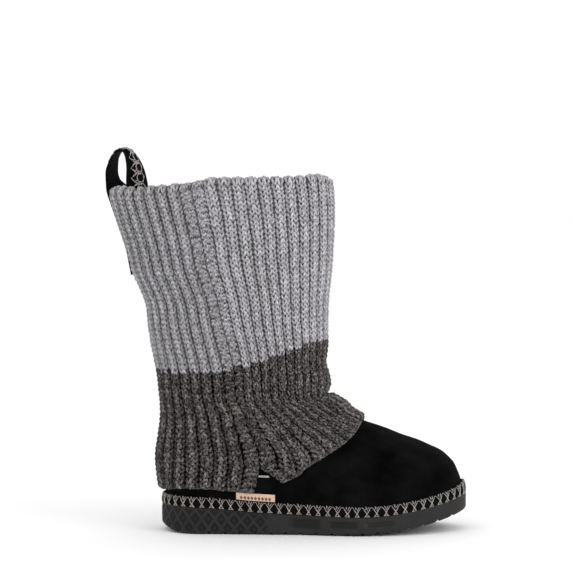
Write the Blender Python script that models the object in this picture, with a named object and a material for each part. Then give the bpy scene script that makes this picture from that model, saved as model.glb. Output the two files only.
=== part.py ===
"""A right slipper boot: suede foot on a moulded rubber sole, with a rib-knit leg of two sewn panels.

Metres, +Z up. +X runs to the toe and -Y is the outer side of the foot.
The origin is on the floor under the middle of the heel seat.
"""

import math
from collections import namedtuple

import bmesh
import bpy
import numpy as np

for leftover in list(bpy.data.objects):
    bpy.data.objects.remove(leftover, do_unlink=True)

# Driving sizes of the sole
SOLE_LENGTH = 0.275
BALL_WIDTH = 0.100
HEEL_WIDTH = 0.074
HEEL_THICKNESS = 0.025
FOREFOOT_THICKNESS = 0.0155
TOE_SPRING = 0.018
HEEL_ROLL = 0.006
EDGE_ROUND = 0.0030
TREAD_DEPTH = 0.0024
TREAD_GROOVE = 0.0022
TREAD_PITCH = 0.0136
LATTICE_PITCH = 0.0116
LATTICE_DEPTH = 0.0009
SIDE_SLOT_DEPTH = 0.0010
SIDE_SLOT_LENGTH = 0.027
SIDE_SLOT_PITCH = 0.033
SIDE_SLOT_START = 0.078

# Driving sizes of the upper
UPPER_WALL = 0.003
UPPER_INSET = 0.0045
INSTEP_RISE = 0.088
HEEL_BULGE = 0.005
ANKLE_DEPTH = 0.139
LEG_HEIGHT = 0.189
COLLAR_SLOPE = 0.0130
COLLAR_DEPTH = 0.1905
LEG_LEAN = 0.045
LEG_WIDTH = 0.079
INSOLE_THICKNESS = 0.005

# Driving sizes of the knit, the braid round the sole, the tag and the pull loop
CLEARANCE = 0.0003
KNIT_EASE = 0.0010
KNIT_WALL = 0.0030
RIB_HEIGHT = 0.0020
FRONT_RIBS = 23
BACK_RIBS = 15
FOLD_SWELL = 0.0060
KNIT_OVERLAP = 0.0040
SEAM_GAP = 0.0004
STRAP_EASE = 0.0011
BRAID_HEIGHT = 0.0088
BRAID_THICKNESS = 0.0039
TAG_LENGTH = 0.0346
TAG_HEIGHT = 0.0066
TAG_THICKNESS = 0.0010
TAG_START = 0.0307
WEBBING_WIDTH = 0.025
WEBBING_THICKNESS = 0.0016
LOOP_TAPE_WIDTH = 0.013
LOOP_TAPE_THICKNESS = 0.0008
TAPE_GAP = 0.0011
LOOP_HEIGHT = 0.0345
LOOP_SPAN = 0.028
LOOP_TAIL = 0.070
LOOP_INNER_TAIL = 0.040
LOOP_INNER_START = 0.024
LOOP_TURN = math.radians(192.5)
LOOP_COLLAR_TURN = math.radians(201)
LOOP_TAIL_TURN = math.radians(208)
LOOP_INNER_TURN = math.radians(207)

# Mesh fineness
UPPER_COLUMNS = 38
SMALL_STEP = 1e-3

# The sole's outline: along is a share of the length, half and shift are shares of the ball width.
# Shift moves the middle line to the inner side of the foot.
OutlineRow = namedtuple("OutlineRow", "along half shift")
OUTLINE = [
    OutlineRow(0.000, 0.370, 0.000),
    OutlineRow(0.140, 0.370, 0.000),
    OutlineRow(0.420, 0.385, -0.030),
    OutlineRow(0.560, 0.450, -0.025),
    OutlineRow(0.680, 0.500, 0.000),
    OutlineRow(0.820, 0.475, 0.030),
    OutlineRow(1.000, 0.430, 0.060),
]
HEEL_ROUND = 0.135
TOE_ROUND = 0.250
TOE_POWER = 2.15

# The sole's side: wedge is the share of the step from forefoot to heel thickness.
WedgeRow = namedtuple("WedgeRow", "along wedge")
WEDGE = [
    WedgeRow(0.00, 1.00),
    WedgeRow(0.14, 0.89),
    WedgeRow(0.30, 0.52),
    WedgeRow(0.48, 0.28),
    WedgeRow(0.60, 0.16),
    WedgeRow(0.75, 0.03),
    WedgeRow(1.00, 0.00),
]
SPRING_START = 0.60
SPRING_POWER = 1.9
ROLL_END = 0.080

# Rings of the foot, from the sole to the ankle bend.
# heel is a share of the heel bulge, front runs from the ankle (0) to the toe (1), rises are shares of
# the instep rise above the sole's edge, width runs from leg (0) to foot (1), level from following the
# sole's side line (0) to flat (1), egg from the outline of a foot (0) to that of a leg (1), and widest
# is the share of the ring where the egg is widest.
FootRow = namedtuple("FootRow", "heel front back_rise front_rise width level egg widest")
FOOT = [
    FootRow(0.00, 0.998, 0.000, 0.000, 1.00, 0.00, 0.00, 0.62),
    FootRow(0.20, 1.000, 0.102, 0.102, 1.06, 0.00, 0.00, 0.62),
    FootRow(0.62, 0.990, 0.227, 0.176, 1.08, 0.35, 0.00, 0.62),
    FootRow(0.90, 0.954, 0.364, 0.290, 0.86, 0.65, 0.12, 0.61),
    FootRow(1.00, 0.908, 0.466, 0.374, 0.60, 0.85, 0.30, 0.60),
    FootRow(0.90, 0.838, 0.540, 0.448, 0.40, 1.00, 0.46, 0.58),
    FootRow(0.72, 0.730, 0.614, 0.522, 0.24, 1.00, 0.62, 0.56),
    FootRow(0.52, 0.588, 0.688, 0.600, 0.12, 1.00, 0.78, 0.54),
    FootRow(0.34, 0.444, 0.756, 0.680, 0.04, 1.00, 0.90, 0.52),
    FootRow(0.20, 0.324, 0.818, 0.741, 0.00, 1.00, 1.00, 0.51),
    FootRow(0.14, 0.231, 0.875, 0.795, 0.00, 1.00, 1.00, 0.50),
    FootRow(0.12, 0.138, 0.932, 0.858, 0.00, 1.00, 1.00, 0.50),
]

# Rings of the leg, from the ankle bend to the collar. up is a share of the leg's height, lean of its
# backward lean, depth runs from the ankle's (0) to the collar's (1), and width is a share of the leg's.
LegRow = namedtuple("LegRow", "up lean depth width")
LEG = [
    LegRow(0.000, 0.000, 0.122, 0.924),
    LegRow(0.037, 0.015, 0.016, 0.932),
    LegRow(0.085, 0.034, 0.000, 0.937),
    LegRow(0.165, 0.076, 0.043, 0.962),
    LegRow(0.265, 0.160, 0.150, 0.987),
    LegRow(0.360, 0.225, 0.225, 1.000),
    LegRow(0.473, 0.275, 0.287, 1.000),
    LegRow(0.560, 0.405, 0.437, 0.987),
    LegRow(0.636, 0.550, 0.592, 0.962),
    LegRow(0.742, 0.665, 0.715, 0.924),
    LegRow(0.857, 0.825, 0.868, 0.873),
    LegRow(0.950, 0.944, 0.965, 0.823),
    LegRow(1.000, 1.000, 1.000, 0.797),
]
TOP_LEVEL = len(FOOT) + len(LEG) - 1
ANKLE_LEVEL = len(FOOT)

# The side seam where the two knit panels meet, as degrees round from the front at each level.
SeamRow = namedtuple("SeamRow", "level degrees")
SEAM = [
    SeamRow(0.0, 110.0),
    SeamRow(3.0, 108.8),
    SeamRow(5.7, 106.5),
    SeamRow(9.0, 100.0),
    SeamRow(12.0, 94.0),
    SeamRow(14.8, 93.8),
    SeamRow(16.3, 97.0),
    SeamRow(17.6, 101.0),
    SeamRow(19.2, 103.8),
    SeamRow(21.2, 105.2),
    SeamRow(24.0, 105.8),
]
SLIT_TOP = 2.95
SLIT_POWER = 0.7
SLIT_SPREAD_BACK = math.radians(3.2)
SLIT_SPREAD_FRONT = math.radians(13.0)

# Level of the front panel's hem, from the middle of the instep (0) to the side seam (1).
HemRow = namedtuple("HemRow", "across level")
FRONT_HEM = [
    HemRow(0.00, 9.35),
    HemRow(0.25, 8.75),
    HemRow(0.46, 7.60),
    HemRow(0.65, 6.00),
    HemRow(0.77, 4.45),
    HemRow(0.86, 3.15),
    HemRow(0.93, 2.70),
    HemRow(1.00, 2.40),
]
BACK_HEM = 1.70

# How far the knit swells off the instep and ankle, as shares of the fold swell.
FoldRow = namedtuple("FoldRow", "level swell")
FRONT_FOLDS = [
    FoldRow(0.0, 0.05),
    FoldRow(9.0, 0.05),
    FoldRow(10.0, 0.20),
    FoldRow(11.0, 0.85),
    FoldRow(12.0, 1.00),
    FoldRow(12.8, 0.12),
    FoldRow(13.4, 0.60),
    FoldRow(14.2, 0.95),
    FoldRow(14.8, 0.60),
    FoldRow(15.3, 0.12),
    FoldRow(16.0, 0.18),
    FoldRow(17.5, 0.00),
    FoldRow(24.0, 0.00),
]
FOLD_REACH = math.radians(80)

# Rows of the knit panels, as shares of each rib's length from hem to collar.
FRONT_ROWS = (0.0, 0.04, 0.09, 0.135, 0.18, 0.225, 0.28, 0.38, 0.50, 0.62, 0.74, 0.87, 0.975, 1.0)
BACK_ROWS = (0.0, 0.06, 0.13, 0.21, 0.30, 0.40, 0.51, 0.62, 0.74, 0.87, 0.975, 1.0)
# Between the last rib and the seam lies a plain band, as wide as this share of a rib. The ribs crowd
# where the leg bends sharply: their width goes with the bend's speed to this power.
SEAM_BAND = 0.95
SEAM_RISE = 0.6
RIB_CROWDING = 0.65
PANEL_REACH_FRONT = math.radians(106)
PANEL_REACH_BACK = math.radians(75)

# Shape of the free part of the pull loop. out is a share of its span, away from the leg, up is a
# share of its height over the collar, aside a share of the webbing's width, and twist is in degrees.
LoopRow = namedtuple("LoopRow", "out up aside twist")
LOOP = [
    LoopRow(0.18, 0.16, 0.08, 5.0),
    LoopRow(0.18, 0.44, 0.02, 13.0),
    LoopRow(0.11, 0.72, 0.02, 20.0),
    LoopRow(-0.09, 0.95, 0.05, 26.0),
    LoopRow(-0.30, 0.99, 0.10, 22.0),
    LoopRow(-0.46, 0.84, 0.15, 12.0),
    LoopRow(-0.57, 0.56, 0.20, 1.0),
    LoopRow(-0.61, 0.26, 0.24, -9.0),
    LoopRow(-0.62, -0.03, 0.28, -13.0),
    LoopRow(-0.53, -0.32, 0.36, -13.0),
]


def curve_through(places, values, at):
    """Reads a smooth curve through the given values that never overshoots them."""
    places = np.asarray(places, float)
    values = np.asarray(values, float)
    at = np.clip(np.asarray(at, float), places[0], places[-1])
    gaps = np.diff(places)
    slopes = np.diff(values) / gaps
    tangents = np.zeros_like(values)
    same_way = slopes[1:] * slopes[:-1] > 0
    weight_a = 2 * gaps[1:] + gaps[:-1]
    weight_b = gaps[1:] + 2 * gaps[:-1]
    safe = np.where(same_way, slopes[:-1], 1.0), np.where(same_way, slopes[1:], 1.0)
    mean = (weight_a + weight_b) / (weight_a / safe[0] + weight_b / safe[1])
    tangents[1:-1] = np.where(same_way, mean, 0.0)
    tangents[0], tangents[-1] = slopes[0], slopes[-1]
    index = np.clip(np.searchsorted(places, at, side="right") - 1, 0, len(gaps) - 1)
    gap = gaps[index]
    u = (at - places[index]) / gap
    start = (1 + 2 * u) * (1 - u) ** 2 * values[index] + u * (1 - u) ** 2 * gap * tangents[index]
    end = u**2 * (3 - 2 * u) * values[index + 1] + u**2 * (u - 1) * gap * tangents[index + 1]
    return start + end


def column(rows, name, by, at):
    """Reads one named column of a table at any place along another."""
    return curve_through([getattr(r, by) for r in rows], [getattr(r, name) for r in rows], at)


def mix(a, b, share):
    return a + (b - a) * share


BACK_EDGE = -HEEL_WIDTH / 2


def along_of(x):
    """Share of the sole's length at x."""
    return np.clip((np.asarray(x, float) - BACK_EDGE) / SOLE_LENGTH, 0.0, 1.0)


def outline_half(along):
    """Half width of the sole, as a share of its half width at the ball."""
    heel_gap = np.clip((HEEL_ROUND - along) / HEEL_ROUND, 0, 1)
    toe_gap = np.clip((along - (1 - TOE_ROUND)) / TOE_ROUND, 0, 1)
    heel_end = np.sqrt(1 - heel_gap**2)
    toe_end = (1 - toe_gap**TOE_POWER) ** (1 / TOE_POWER)
    heel_share = HEEL_WIDTH / BALL_WIDTH
    side = column(OUTLINE, "half", "along", along) * 2
    heel_side = side + (heel_share - OUTLINE[0].half * 2) * np.clip(1 - along / OUTLINE[2].along, 0, 1)
    return heel_side * heel_end * toe_end


def outline_shift(along):
    """Sideways shift of the sole's middle line, in metres."""
    return column(OUTLINE, "shift", "along", along) * BALL_WIDTH


def sole_bottom(x):
    """Height of the tread's face above the floor."""
    along = along_of(x)
    spring = np.clip((along - SPRING_START) / (1 - SPRING_START), 0, 1) ** SPRING_POWER
    roll = np.clip(1 - along / ROLL_END, 0, 1) ** 2
    return TOE_SPRING * spring + HEEL_ROLL * roll


def sole_top(x):
    """Height of the sole's top edge."""
    along = along_of(x)
    spring = np.clip((along - SPRING_START) / (1 - SPRING_START), 0, 1) ** SPRING_POWER
    wedge = column(WEDGE, "wedge", "along", along)
    return TOE_SPRING * spring + mix(FOREFOOT_THICKNESS, HEEL_THICKNESS, wedge)


UPPER_BACK = BACK_EDGE + UPPER_INSET
UPPER_TOE = BACK_EDGE + SOLE_LENGTH - UPPER_INSET
ANKLE_BACK = UPPER_BACK - FOOT[-1].heel * HEEL_BULGE
ANKLE_FRONT = ANKLE_BACK + ANKLE_DEPTH
ANKLE_HALF = LEG[1].width * LEG_WIDTH / 2
FOOT_HALF = BALL_WIDTH / 2 - UPPER_INSET


def ring_rows():
    """One row of plain lengths for each ring of the upper, from the sole to the collar."""
    rows = []
    heel_top = float(sole_top(BACK_EDGE)) + CLEARANCE
    toe_top = float(sole_top(UPPER_TOE)) + CLEARANCE
    for r in FOOT:
        back = (UPPER_BACK - r.heel * HEEL_BULGE, heel_top + r.back_rise * INSTEP_RISE)
        front = (mix(ANKLE_FRONT, UPPER_TOE, r.front), toe_top + r.front_rise * INSTEP_RISE)
        rows.append((*back, *front, mix(ANKLE_HALF, FOOT_HALF, r.width), r.level, r.egg, r.widest))
    for r in LEG:
        back_x = ANKLE_BACK - r.lean * LEG_LEAN
        back_z = heel_top + INSTEP_RISE + r.up * LEG_HEIGHT
        front_x = back_x + mix(ANKLE_DEPTH, COLLAR_DEPTH, r.depth)
        front_z = back_z + r.up * COLLAR_SLOPE
        rows.append((back_x, back_z, front_x, front_z, r.width * LEG_WIDTH / 2, 1.0, 1.0, 0.5))
    return np.array(rows)


RINGS = ring_rows()


def body(level, turn):
    """A point of the upper's outer face. turn is 0 at the front and grows towards the outer side."""
    level, turn = np.broadcast_arrays(np.asarray(level, float), np.asarray(turn, float))
    ring = [curve_through(range(len(RINGS)), RINGS[:, k], level) for k in range(RINGS.shape[1])]
    back_x, back_z, front_x, front_z, half, flat, egg, widest = ring
    share = (1 + np.cos(turn)) / 2
    x = mix(back_x, front_x, share)
    sole_line = sole_top(x) - mix(sole_top(back_x), sole_top(front_x), share)
    z = mix(back_z, front_z, share) + (1 - flat) * sole_line
    behind = np.clip((widest - share) / widest, 0, 1)
    ahead = np.clip((share - widest) / (1 - widest), 0, 1)
    egg_half = np.sqrt(np.clip(1 - behind**2 - ahead**2, 0, 1))
    side = half * mix(outline_half(share), egg_half, egg)
    y = (1 - egg) * outline_shift(share) - np.sign(np.sin(turn)) * side
    return np.stack([x, y, z], axis=-1)


def skin(level, turn, off=0.0):
    """A point at a distance off the upper's outer face, along the face's own normal."""
    level, turn = np.broadcast_arrays(np.asarray(level, float), np.asarray(turn, float))
    low = np.clip(level - SMALL_STEP * 50, 0, TOP_LEVEL)
    high = np.clip(level + SMALL_STEP * 50, 0, TOP_LEVEL)
    up = body(high, turn) - body(low, turn)
    around = body(level, turn + SMALL_STEP * 10) - body(level, turn - SMALL_STEP * 10)
    normal = np.cross(up, around)
    normal /= np.linalg.norm(normal, axis=-1, keepdims=True)
    return body(level, turn) + normal * np.asarray(off, float)[..., None]


def even_turns(count):
    return np.arange(count) * 2 * math.pi / count


def finish(name, colour, roughness):
    """A plain material of one colour and roughness."""
    material = bpy.data.materials.new(name)
    material.use_nodes = True
    shader = material.node_tree.nodes["Principled BSDF"]
    shader.inputs["Base Color"].default_value = (*colour, 1.0)
    shader.inputs["Roughness"].default_value = roughness
    shader.inputs["Metallic"].default_value = 0.0
    return material


def add_solid(name, points, faces, material, sharp_degrees=35):
    """Makes one closed object with its faces pointing out."""
    mesh = bpy.data.meshes.new(name)
    mesh.from_pydata([tuple(p) for p in points], [], faces)
    work = bmesh.new()
    work.from_mesh(mesh)
    bmesh.ops.triangulate(work, faces=work.faces)
    bmesh.ops.recalc_face_normals(work, faces=work.faces)
    work.to_mesh(mesh)
    work.free()
    mesh.shade_smooth()
    mesh.set_sharp_from_angle(angle=math.radians(sharp_degrees))
    mesh.materials.append(material)
    solid = bpy.data.objects.new(name, mesh)
    bpy.context.scene.collection.objects.link(solid)
    return solid


def grid_faces(rows, columns, wrap=False, first=0):
    """Quads between the points of a grid that starts at point number first."""
    faces = []
    for row in range(rows - 1):
        for col in range(columns if wrap else columns - 1):
            beside = (col + 1) % columns
            a, b = first + row * columns + col, first + row * columns + beside
            faces.append((a, b, b + columns, a + columns))
    return faces


def add_wall(name, outer, inner, material):
    """A round wall between an outer and an inner grid, open at both ends."""
    rows, columns = outer.shape[:2]
    points = np.concatenate([outer.reshape(-1, 3), inner.reshape(-1, 3)])
    shift = rows * columns
    faces = grid_faces(rows, columns, wrap=True) + grid_faces(rows, columns, wrap=True, first=shift)
    for row in (0, rows - 1):
        for col in range(columns):
            a, b = row * columns + col, row * columns + (col + 1) % columns
            faces.append((a, b, b + shift, a + shift))
    return add_solid(name, points, faces, material)


def add_panel(name, outer, inner, material):
    """A closed sheet between two grids, with an edge on all four sides."""
    rows, columns = outer.shape[:2]
    points = np.concatenate([outer.reshape(-1, 3), inner.reshape(-1, 3)])
    shift = rows * columns
    faces = grid_faces(rows, columns) + grid_faces(rows, columns, first=shift)
    rim = [(0, c) for c in range(columns)] + [(r, columns - 1) for r in range(1, rows)]
    rim += [(rows - 1, c) for c in range(columns - 2, -1, -1)] + [(r, 0) for r in range(rows - 2, 0, -1)]
    order = [r * columns + c for r, c in rim]
    for a, b in zip(order, order[1:] + order[:1]):
        faces.append((a, b, b + shift, a + shift))
    return add_solid(name, points, faces, material)


def add_sweep(name, sections, material, closed):
    """A solid through equal sections, joined end to end or capped."""
    count, corners = sections.shape[:2]
    points = sections.reshape(-1, 3)
    faces = grid_faces(count, corners, wrap=True)
    if closed:
        last = (count - 1) * corners
        for k in range(corners):
            n = (k + 1) % corners
            faces.append((last + k, last + n, n, k))
    else:
        faces.append(tuple(range(corners)))
        faces.append(tuple(range((count - 1) * corners, count * corners)))
    return add_solid(name, points, faces, material)


def add_slab(name, rings, across, material):
    """A solid of stacked rings, closed above and below by strips from side to side."""
    rows, columns = rings.shape[:2]
    faces = grid_faces(rows, columns, wrap=True)
    for row in (0, rows - 1):
        base = row * columns
        for k in range(across):
            a, b = k, k + 1
            c, d = (columns - k - 1) % columns, (columns - k) % columns
            corners = [base + a, base + b, base + c, base + d]
            faces.append(tuple(dict.fromkeys(corners)))
    return add_solid(name, rings.reshape(-1, 3), faces, material)


def sole_stations():
    """Places along the sole, half a lattice pitch apart on its outer edge, from toe to heel."""
    fine = np.linspace(0, math.pi, 2000)
    along = (1 + np.cos(fine)) / 2
    x = along * SOLE_LENGTH
    y = outline_half(along) * BALL_WIDTH / 2 - outline_shift(along)
    run = np.concatenate([[0], np.cumsum(np.hypot(np.diff(x), np.diff(y)))])
    count = 2 * round(run[-1] / LATTICE_PITCH)
    return np.interp(np.linspace(0, run[-1], count + 1), run, along)


def sole_ring(stations, inset):
    """The sole's outline as x and y: out along one side from the toe, and back along the other."""
    half = outline_half(stations) * (BALL_WIDTH / 2 - inset)
    x = BACK_EDGE + inset + stations * (SOLE_LENGTH - 2 * inset)
    shift = outline_shift(stations)
    outer = np.stack([x, shift - half], axis=-1)
    inner = np.stack([x, shift + half], axis=-1)[1:-1][::-1]
    return np.concatenate([outer, inner])


def make_outsole(material):
    """The moulded sole: rounded lower edge, lattice of diamonds round the heel, slots and tread grooves."""
    stations = sole_stations()
    count = len(stations) - 1
    columns = 2 * count
    station = np.concatenate([np.arange(count + 1), np.arange(count - 1, 0, -1)])
    along = stations[station]
    # The lattice reaches from the heel to this share of the length, between two shares of the height.
    lattice_end = 0.36
    lattice_top, lattice_low = 0.84, 0.20
    in_lattice = along < lattice_end
    pit = np.where(in_lattice & (station % 2 == 0), LATTICE_DEPTH, 0.0)
    # Each row: inset from the outline, share of the side's height, and how deep the diamonds are there.
    rows = (
        (EDGE_ROUND, 0.0, 0.0),
        (EDGE_ROUND * 0.28, 0.075, 0.0),
        (0.0, lattice_low, 0.0),
        (0.0, (lattice_low + lattice_top) / 2, 1.0),
        (0.0, lattice_top, 0.0),
        (0.0, 0.95, 0.0),
        (EDGE_ROUND * 0.25, 1.0, 0.0),
    )
    rings = []
    for inset, height, depth in rows:
        plan = sole_ring(stations, inset)
        middle = sole_ring(stations, inset + LATTICE_DEPTH)
        plan = plan + (middle - plan) * (pit * depth / LATTICE_DEPTH)[:, None]
        z = mix(sole_bottom(plan[:, 0]), sole_top(plan[:, 0]), height)
        rings.append(np.column_stack([plan, z]))
    sole = add_slab("outsole", np.array(rings), count, material)
    cutters = [make_tread_cutter(), make_slot_cutter()]
    for cutter in cutters:
        cut = sole.modifiers.new(cutter.name, "BOOLEAN")
        cut.operation = "DIFFERENCE"
        cut.solver = "EXACT"
        cut.object = cutter
    return sole


def add_cutter(name, points, faces):
    """A shape that is only taken away from another."""
    cutter = add_solid(name, points, faces, finish(name, (0.8, 0.1, 0.1), 0.5))
    cutter.hide_render = True
    cutter.display_type = "WIRE"
    return cutter


def make_tread_cutter():
    """V grooves across the tread, one for each pitch, following the toe's rise."""
    points, faces = [], []
    reach = BALL_WIDTH * 0.7
    # Whole ribs lie under the origin and under the ball, so grooves stand half a pitch from them.
    behind = int(-BACK_EDGE / TREAD_PITCH - 1)
    ahead = int((BACK_EDGE + SOLE_LENGTH) / TREAD_PITCH - 1)
    for k in range(-behind, ahead + 1):
        x = (k + 0.5) * TREAD_PITCH
        rise = float(sole_bottom(x + SMALL_STEP) - sole_bottom(x - SMALL_STEP)) / (2 * SMALL_STEP)
        lean = math.atan(rise)
        along = np.array([math.cos(lean), 0, math.sin(lean)])
        inward = np.array([-math.sin(lean), 0, math.cos(lean)])
        root = np.array([x, 0, float(sole_bottom(x))])
        below = -inward * TREAD_DEPTH
        profile = (
            root + below - along * TREAD_GROOVE,
            root + below + along * TREAD_GROOVE,
            root + inward * TREAD_DEPTH + along * TREAD_GROOVE * 0.25,
            root + inward * TREAD_DEPTH - along * TREAD_GROOVE * 0.25,
        )
        base = len(points)
        for side in (-reach, reach):
            points += [p + np.array([0, side, 0]) for p in profile]
        faces += [tuple(base + i for i in (0, 1, 2, 3)), tuple(base + 4 + i for i in (3, 2, 1, 0))]
        for i in range(4):
            n = (i + 1) % 4
            faces.append((base + i, base + n, base + 4 + n, base + 4 + i))
    return add_cutter("tread_cutter", points, faces)


def make_slot_cutter():
    """Three tapering slots in each side of the sole, each narrower than the one behind it."""
    points, faces = [], []
    # Shares of the side's height: each slot's own height, and the line that they are centred on.
    heights = (0.30, 0.22, 0.14)
    middle = 0.56
    for side in (-1, 1):
        for k, height in enumerate(heights):
            start = SIDE_SLOT_START + k * SIDE_SLOT_PITCH
            steps = np.linspace(start, start + SIDE_SLOT_LENGTH, 4)
            base = len(points)
            for i, x in enumerate(steps):
                taper = 0.5 if i == 0 else 1.0
                low, high = float(sole_bottom(x)), float(sole_top(x))
                thick = high - low
                centre = low + middle * thick
                along = float(along_of(x))
                half = float(outline_half(along)) * BALL_WIDTH / 2
                edge = float(outline_shift(along)) + side * half
                for y in (edge - side * SIDE_SLOT_DEPTH, edge + side * SIDE_SLOT_DEPTH * 4):
                    for z in (-1, 1):
                        points.append((x, y, centre + z * taper * height * thick / 2))
            for i in range(len(steps) - 1):
                a = base + i * 4
                for p, q in ((0, 1), (1, 3), (3, 2), (2, 0)):
                    faces.append((a + p, a + q, a + 4 + q, a + 4 + p))
            last = base + (len(steps) - 1) * 4
            faces += [tuple(base + i for i in (0, 1, 3, 2)), tuple(last + i for i in (2, 3, 1, 0))]
    return add_cutter("slot_cutter", points, faces)


def make_upper(material):
    """The suede foot and the cloth leg above it: one wall, open at the collar and over the sole."""
    levels = np.arange(TOP_LEVEL + 1)[:, None]
    turns = even_turns(UPPER_COLUMNS)[None, :]
    outer = skin(levels, turns)
    inner = skin(levels, turns, -UPPER_WALL)
    inner[0, :, 2] = outer[0, :, 2]
    inner[-1, :, 2] = outer[-1, :, 2]
    return add_wall("upper", outer, inner, material)


def make_insole(material):
    """The footbed, cut to the inside of the upper and lying on the sole."""
    turns = even_turns(UPPER_COLUMNS)
    plan = skin(0.0, turns, -(UPPER_WALL + CLEARANCE * 2))
    rings = []
    for lift in (0.0, INSOLE_THICKNESS):
        ring = plan.copy()
        ring[:, 2] = sole_top(plan[:, 0]) + CLEARANCE + lift
        rings.append(ring)
    return add_slab("insole", np.array(rings), UPPER_COLUMNS // 2, material)


def make_sole_braid(material):
    """The woven tape that covers the joint of upper and sole, all the way round."""
    turns = even_turns(UPPER_COLUMNS)
    rise = FOOT[1].back_rise * INSTEP_RISE
    # Each corner: share of the tape's height, and share of its thickness.
    corners = ((0.0, 0.0), (1.0, 0.0), (1.0, 0.35), (0.70, 0.82), (0.34, 1.0), (0.0, 1.0))
    sections = []
    for height, thick in corners:
        level = height * BRAID_HEIGHT / rise
        sections.append(skin(level, turns, CLEARANCE + thick * BRAID_THICKNESS))
    for corner in (0, -1):
        sections[corner][:, 2] = sole_top(sections[corner][:, 0]) + CLEARANCE * 1.5
    return add_sweep("sole_braid", np.stack(sections, axis=1), material, closed=True)


def level_at(height, turn):
    """The level where the upper's outer face reaches a height, at one turn."""
    levels = np.linspace(0, TOP_LEVEL, 600)
    heights = body(levels, turn)[:, 2]
    return float(np.interp(height, heights, levels))


def make_side_tag(material):
    """A small leather tag standing on the braid, flat against the outer side of the upper."""
    outer, inner = [], []
    for share in np.linspace(0, 1, 5):
        x = TAG_START + share * TAG_LENGTH
        low = float(sole_top(x)) + CLEARANCE + BRAID_HEIGHT + 2 * CLEARANCE
        for step in (0.0, 0.5, 1.0):
            height = low + step * TAG_HEIGHT
            level = level_at(height, math.pi / 2)
            ring = [float(curve_through(range(len(RINGS)), RINGS[:, k], level)) for k in (0, 2)]
            place = (x - ring[0]) / (ring[1] - ring[0])
            turn = math.acos(2 * place - 1)
            level = level_at(height, turn)
            inner.append(skin(level, turn, CLEARANCE * 1.5))
            outer.append(skin(level, turn, CLEARANCE * 1.5 + TAG_THICKNESS))
    shape = (5, 3, 3)
    return add_panel("side_tag", np.reshape(outer, shape), np.reshape(inner, shape), material)


def seam_turn(level, front):
    """Where a knit panel ends at the outer side: on the seam, and apart below the top of the slit."""
    turn = np.radians(column(SEAM, "degrees", "level", level))
    open_share = np.clip((SLIT_TOP - level) / (SLIT_TOP - BACK_HEM), 0, 1) ** SLIT_POWER
    spread = -SLIT_SPREAD_FRONT if front else SLIT_SPREAD_BACK
    return turn + open_share * spread


def fold_off(level, turn):
    """How far the soft knit swells away from the upper at its folds."""
    from_front = np.abs((turn + math.pi) % (2 * math.pi) - math.pi)
    fade = np.cos(np.clip(from_front / FOLD_REACH, 0, 1) * math.pi / 2) ** 2
    return FOLD_SWELL * fade * column(FRONT_FOLDS, "swell", "level", level)


def knit_lines(front, across):
    """Levels and turns of one rib line, at each row of the knit. across runs from -1 to 1 over the panel."""
    if front:
        start = float(column(FRONT_HEM, "level", "across", abs(across)))
    else:
        start = BACK_HEM
    levels = np.linspace(start, TOP_LEVEL, 120)
    edge = seam_turn(levels, front)
    turns = across * edge if front else math.pi + across * (math.pi - edge)
    line = skin(levels, turns, KNIT_EASE)
    run = np.concatenate([[0], np.cumsum(np.linalg.norm(np.diff(line, axis=0), axis=1))])
    rows = FRONT_ROWS if front else BACK_ROWS
    places = np.interp(np.array(rows) * run[-1], run, levels)
    return places, np.interp(places, levels, turns)


def rib_places(ribs, front):
    """Where the panel's rib lines lie, from seam (-1) to seam (1): furrows, ribs, and the two edges."""
    reach = PANEL_REACH_FRONT if front else PANEL_REACH_BACK
    bend = np.linspace(0, reach, 400)
    speed = np.hypot(COLLAR_DEPTH / 2 * np.sin(bend), LEG_WIDTH / 2 * np.cos(bend)) ** RIB_CROWDING
    count = np.concatenate([[0], np.cumsum((speed[1:] + speed[:-1]) / 2)])
    numbers = np.arange(-ribs, ribs + 1) / 2
    edge = ribs / 2 + SEAM_BAND
    numbers = np.concatenate([[-edge], numbers, [edge]])
    return np.sign(numbers) * np.interp(np.abs(numbers) / edge, count / count[-1], bend / reach)


def make_knit_panel(name, ribs, front, material):
    """One ribbed panel. Its ribs stand out of the wall, and its side edges meet the other panel's."""
    girth = float(np.linalg.norm(skin(ANKLE_LEVEL, 1.6) - skin(ANKLE_LEVEL, 1.61)) / 0.01)
    seam_gap = SEAM_GAP / girth
    places = rib_places(ribs, front) * (1 - seam_gap)
    last = len(places) - 1
    outer = np.zeros((len(FRONT_ROWS if front else BACK_ROWS), len(places), 3))
    inner = np.zeros_like(outer)
    for k, across in enumerate(places):
        levels, turns = knit_lines(front, across)
        base = KNIT_EASE + fold_off(levels, turns)
        # The first and last lines are the edges, and between them furrows and ribs take turns.
        rise = SEAM_RISE if k in (0, last) else float(k % 2 == 0)
        ridge = KNIT_WALL + RIB_HEIGHT * rise
        inner[:, k] = skin(levels, turns, base)
        outer[:, k] = skin(levels, turns, base + ridge)
    # The collar edge is rounded over and stands above the upper.
    top = outer[-1] * 0.35 + inner[-1] * 0.65
    lift = np.array([0, 0, KNIT_OVERLAP])
    outer[-1], inner[-1] = mix(outer[-1], top, 0.45) + lift, mix(inner[-1], top, 0.2) + lift
    return add_panel(name, outer, inner, material)


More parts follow.
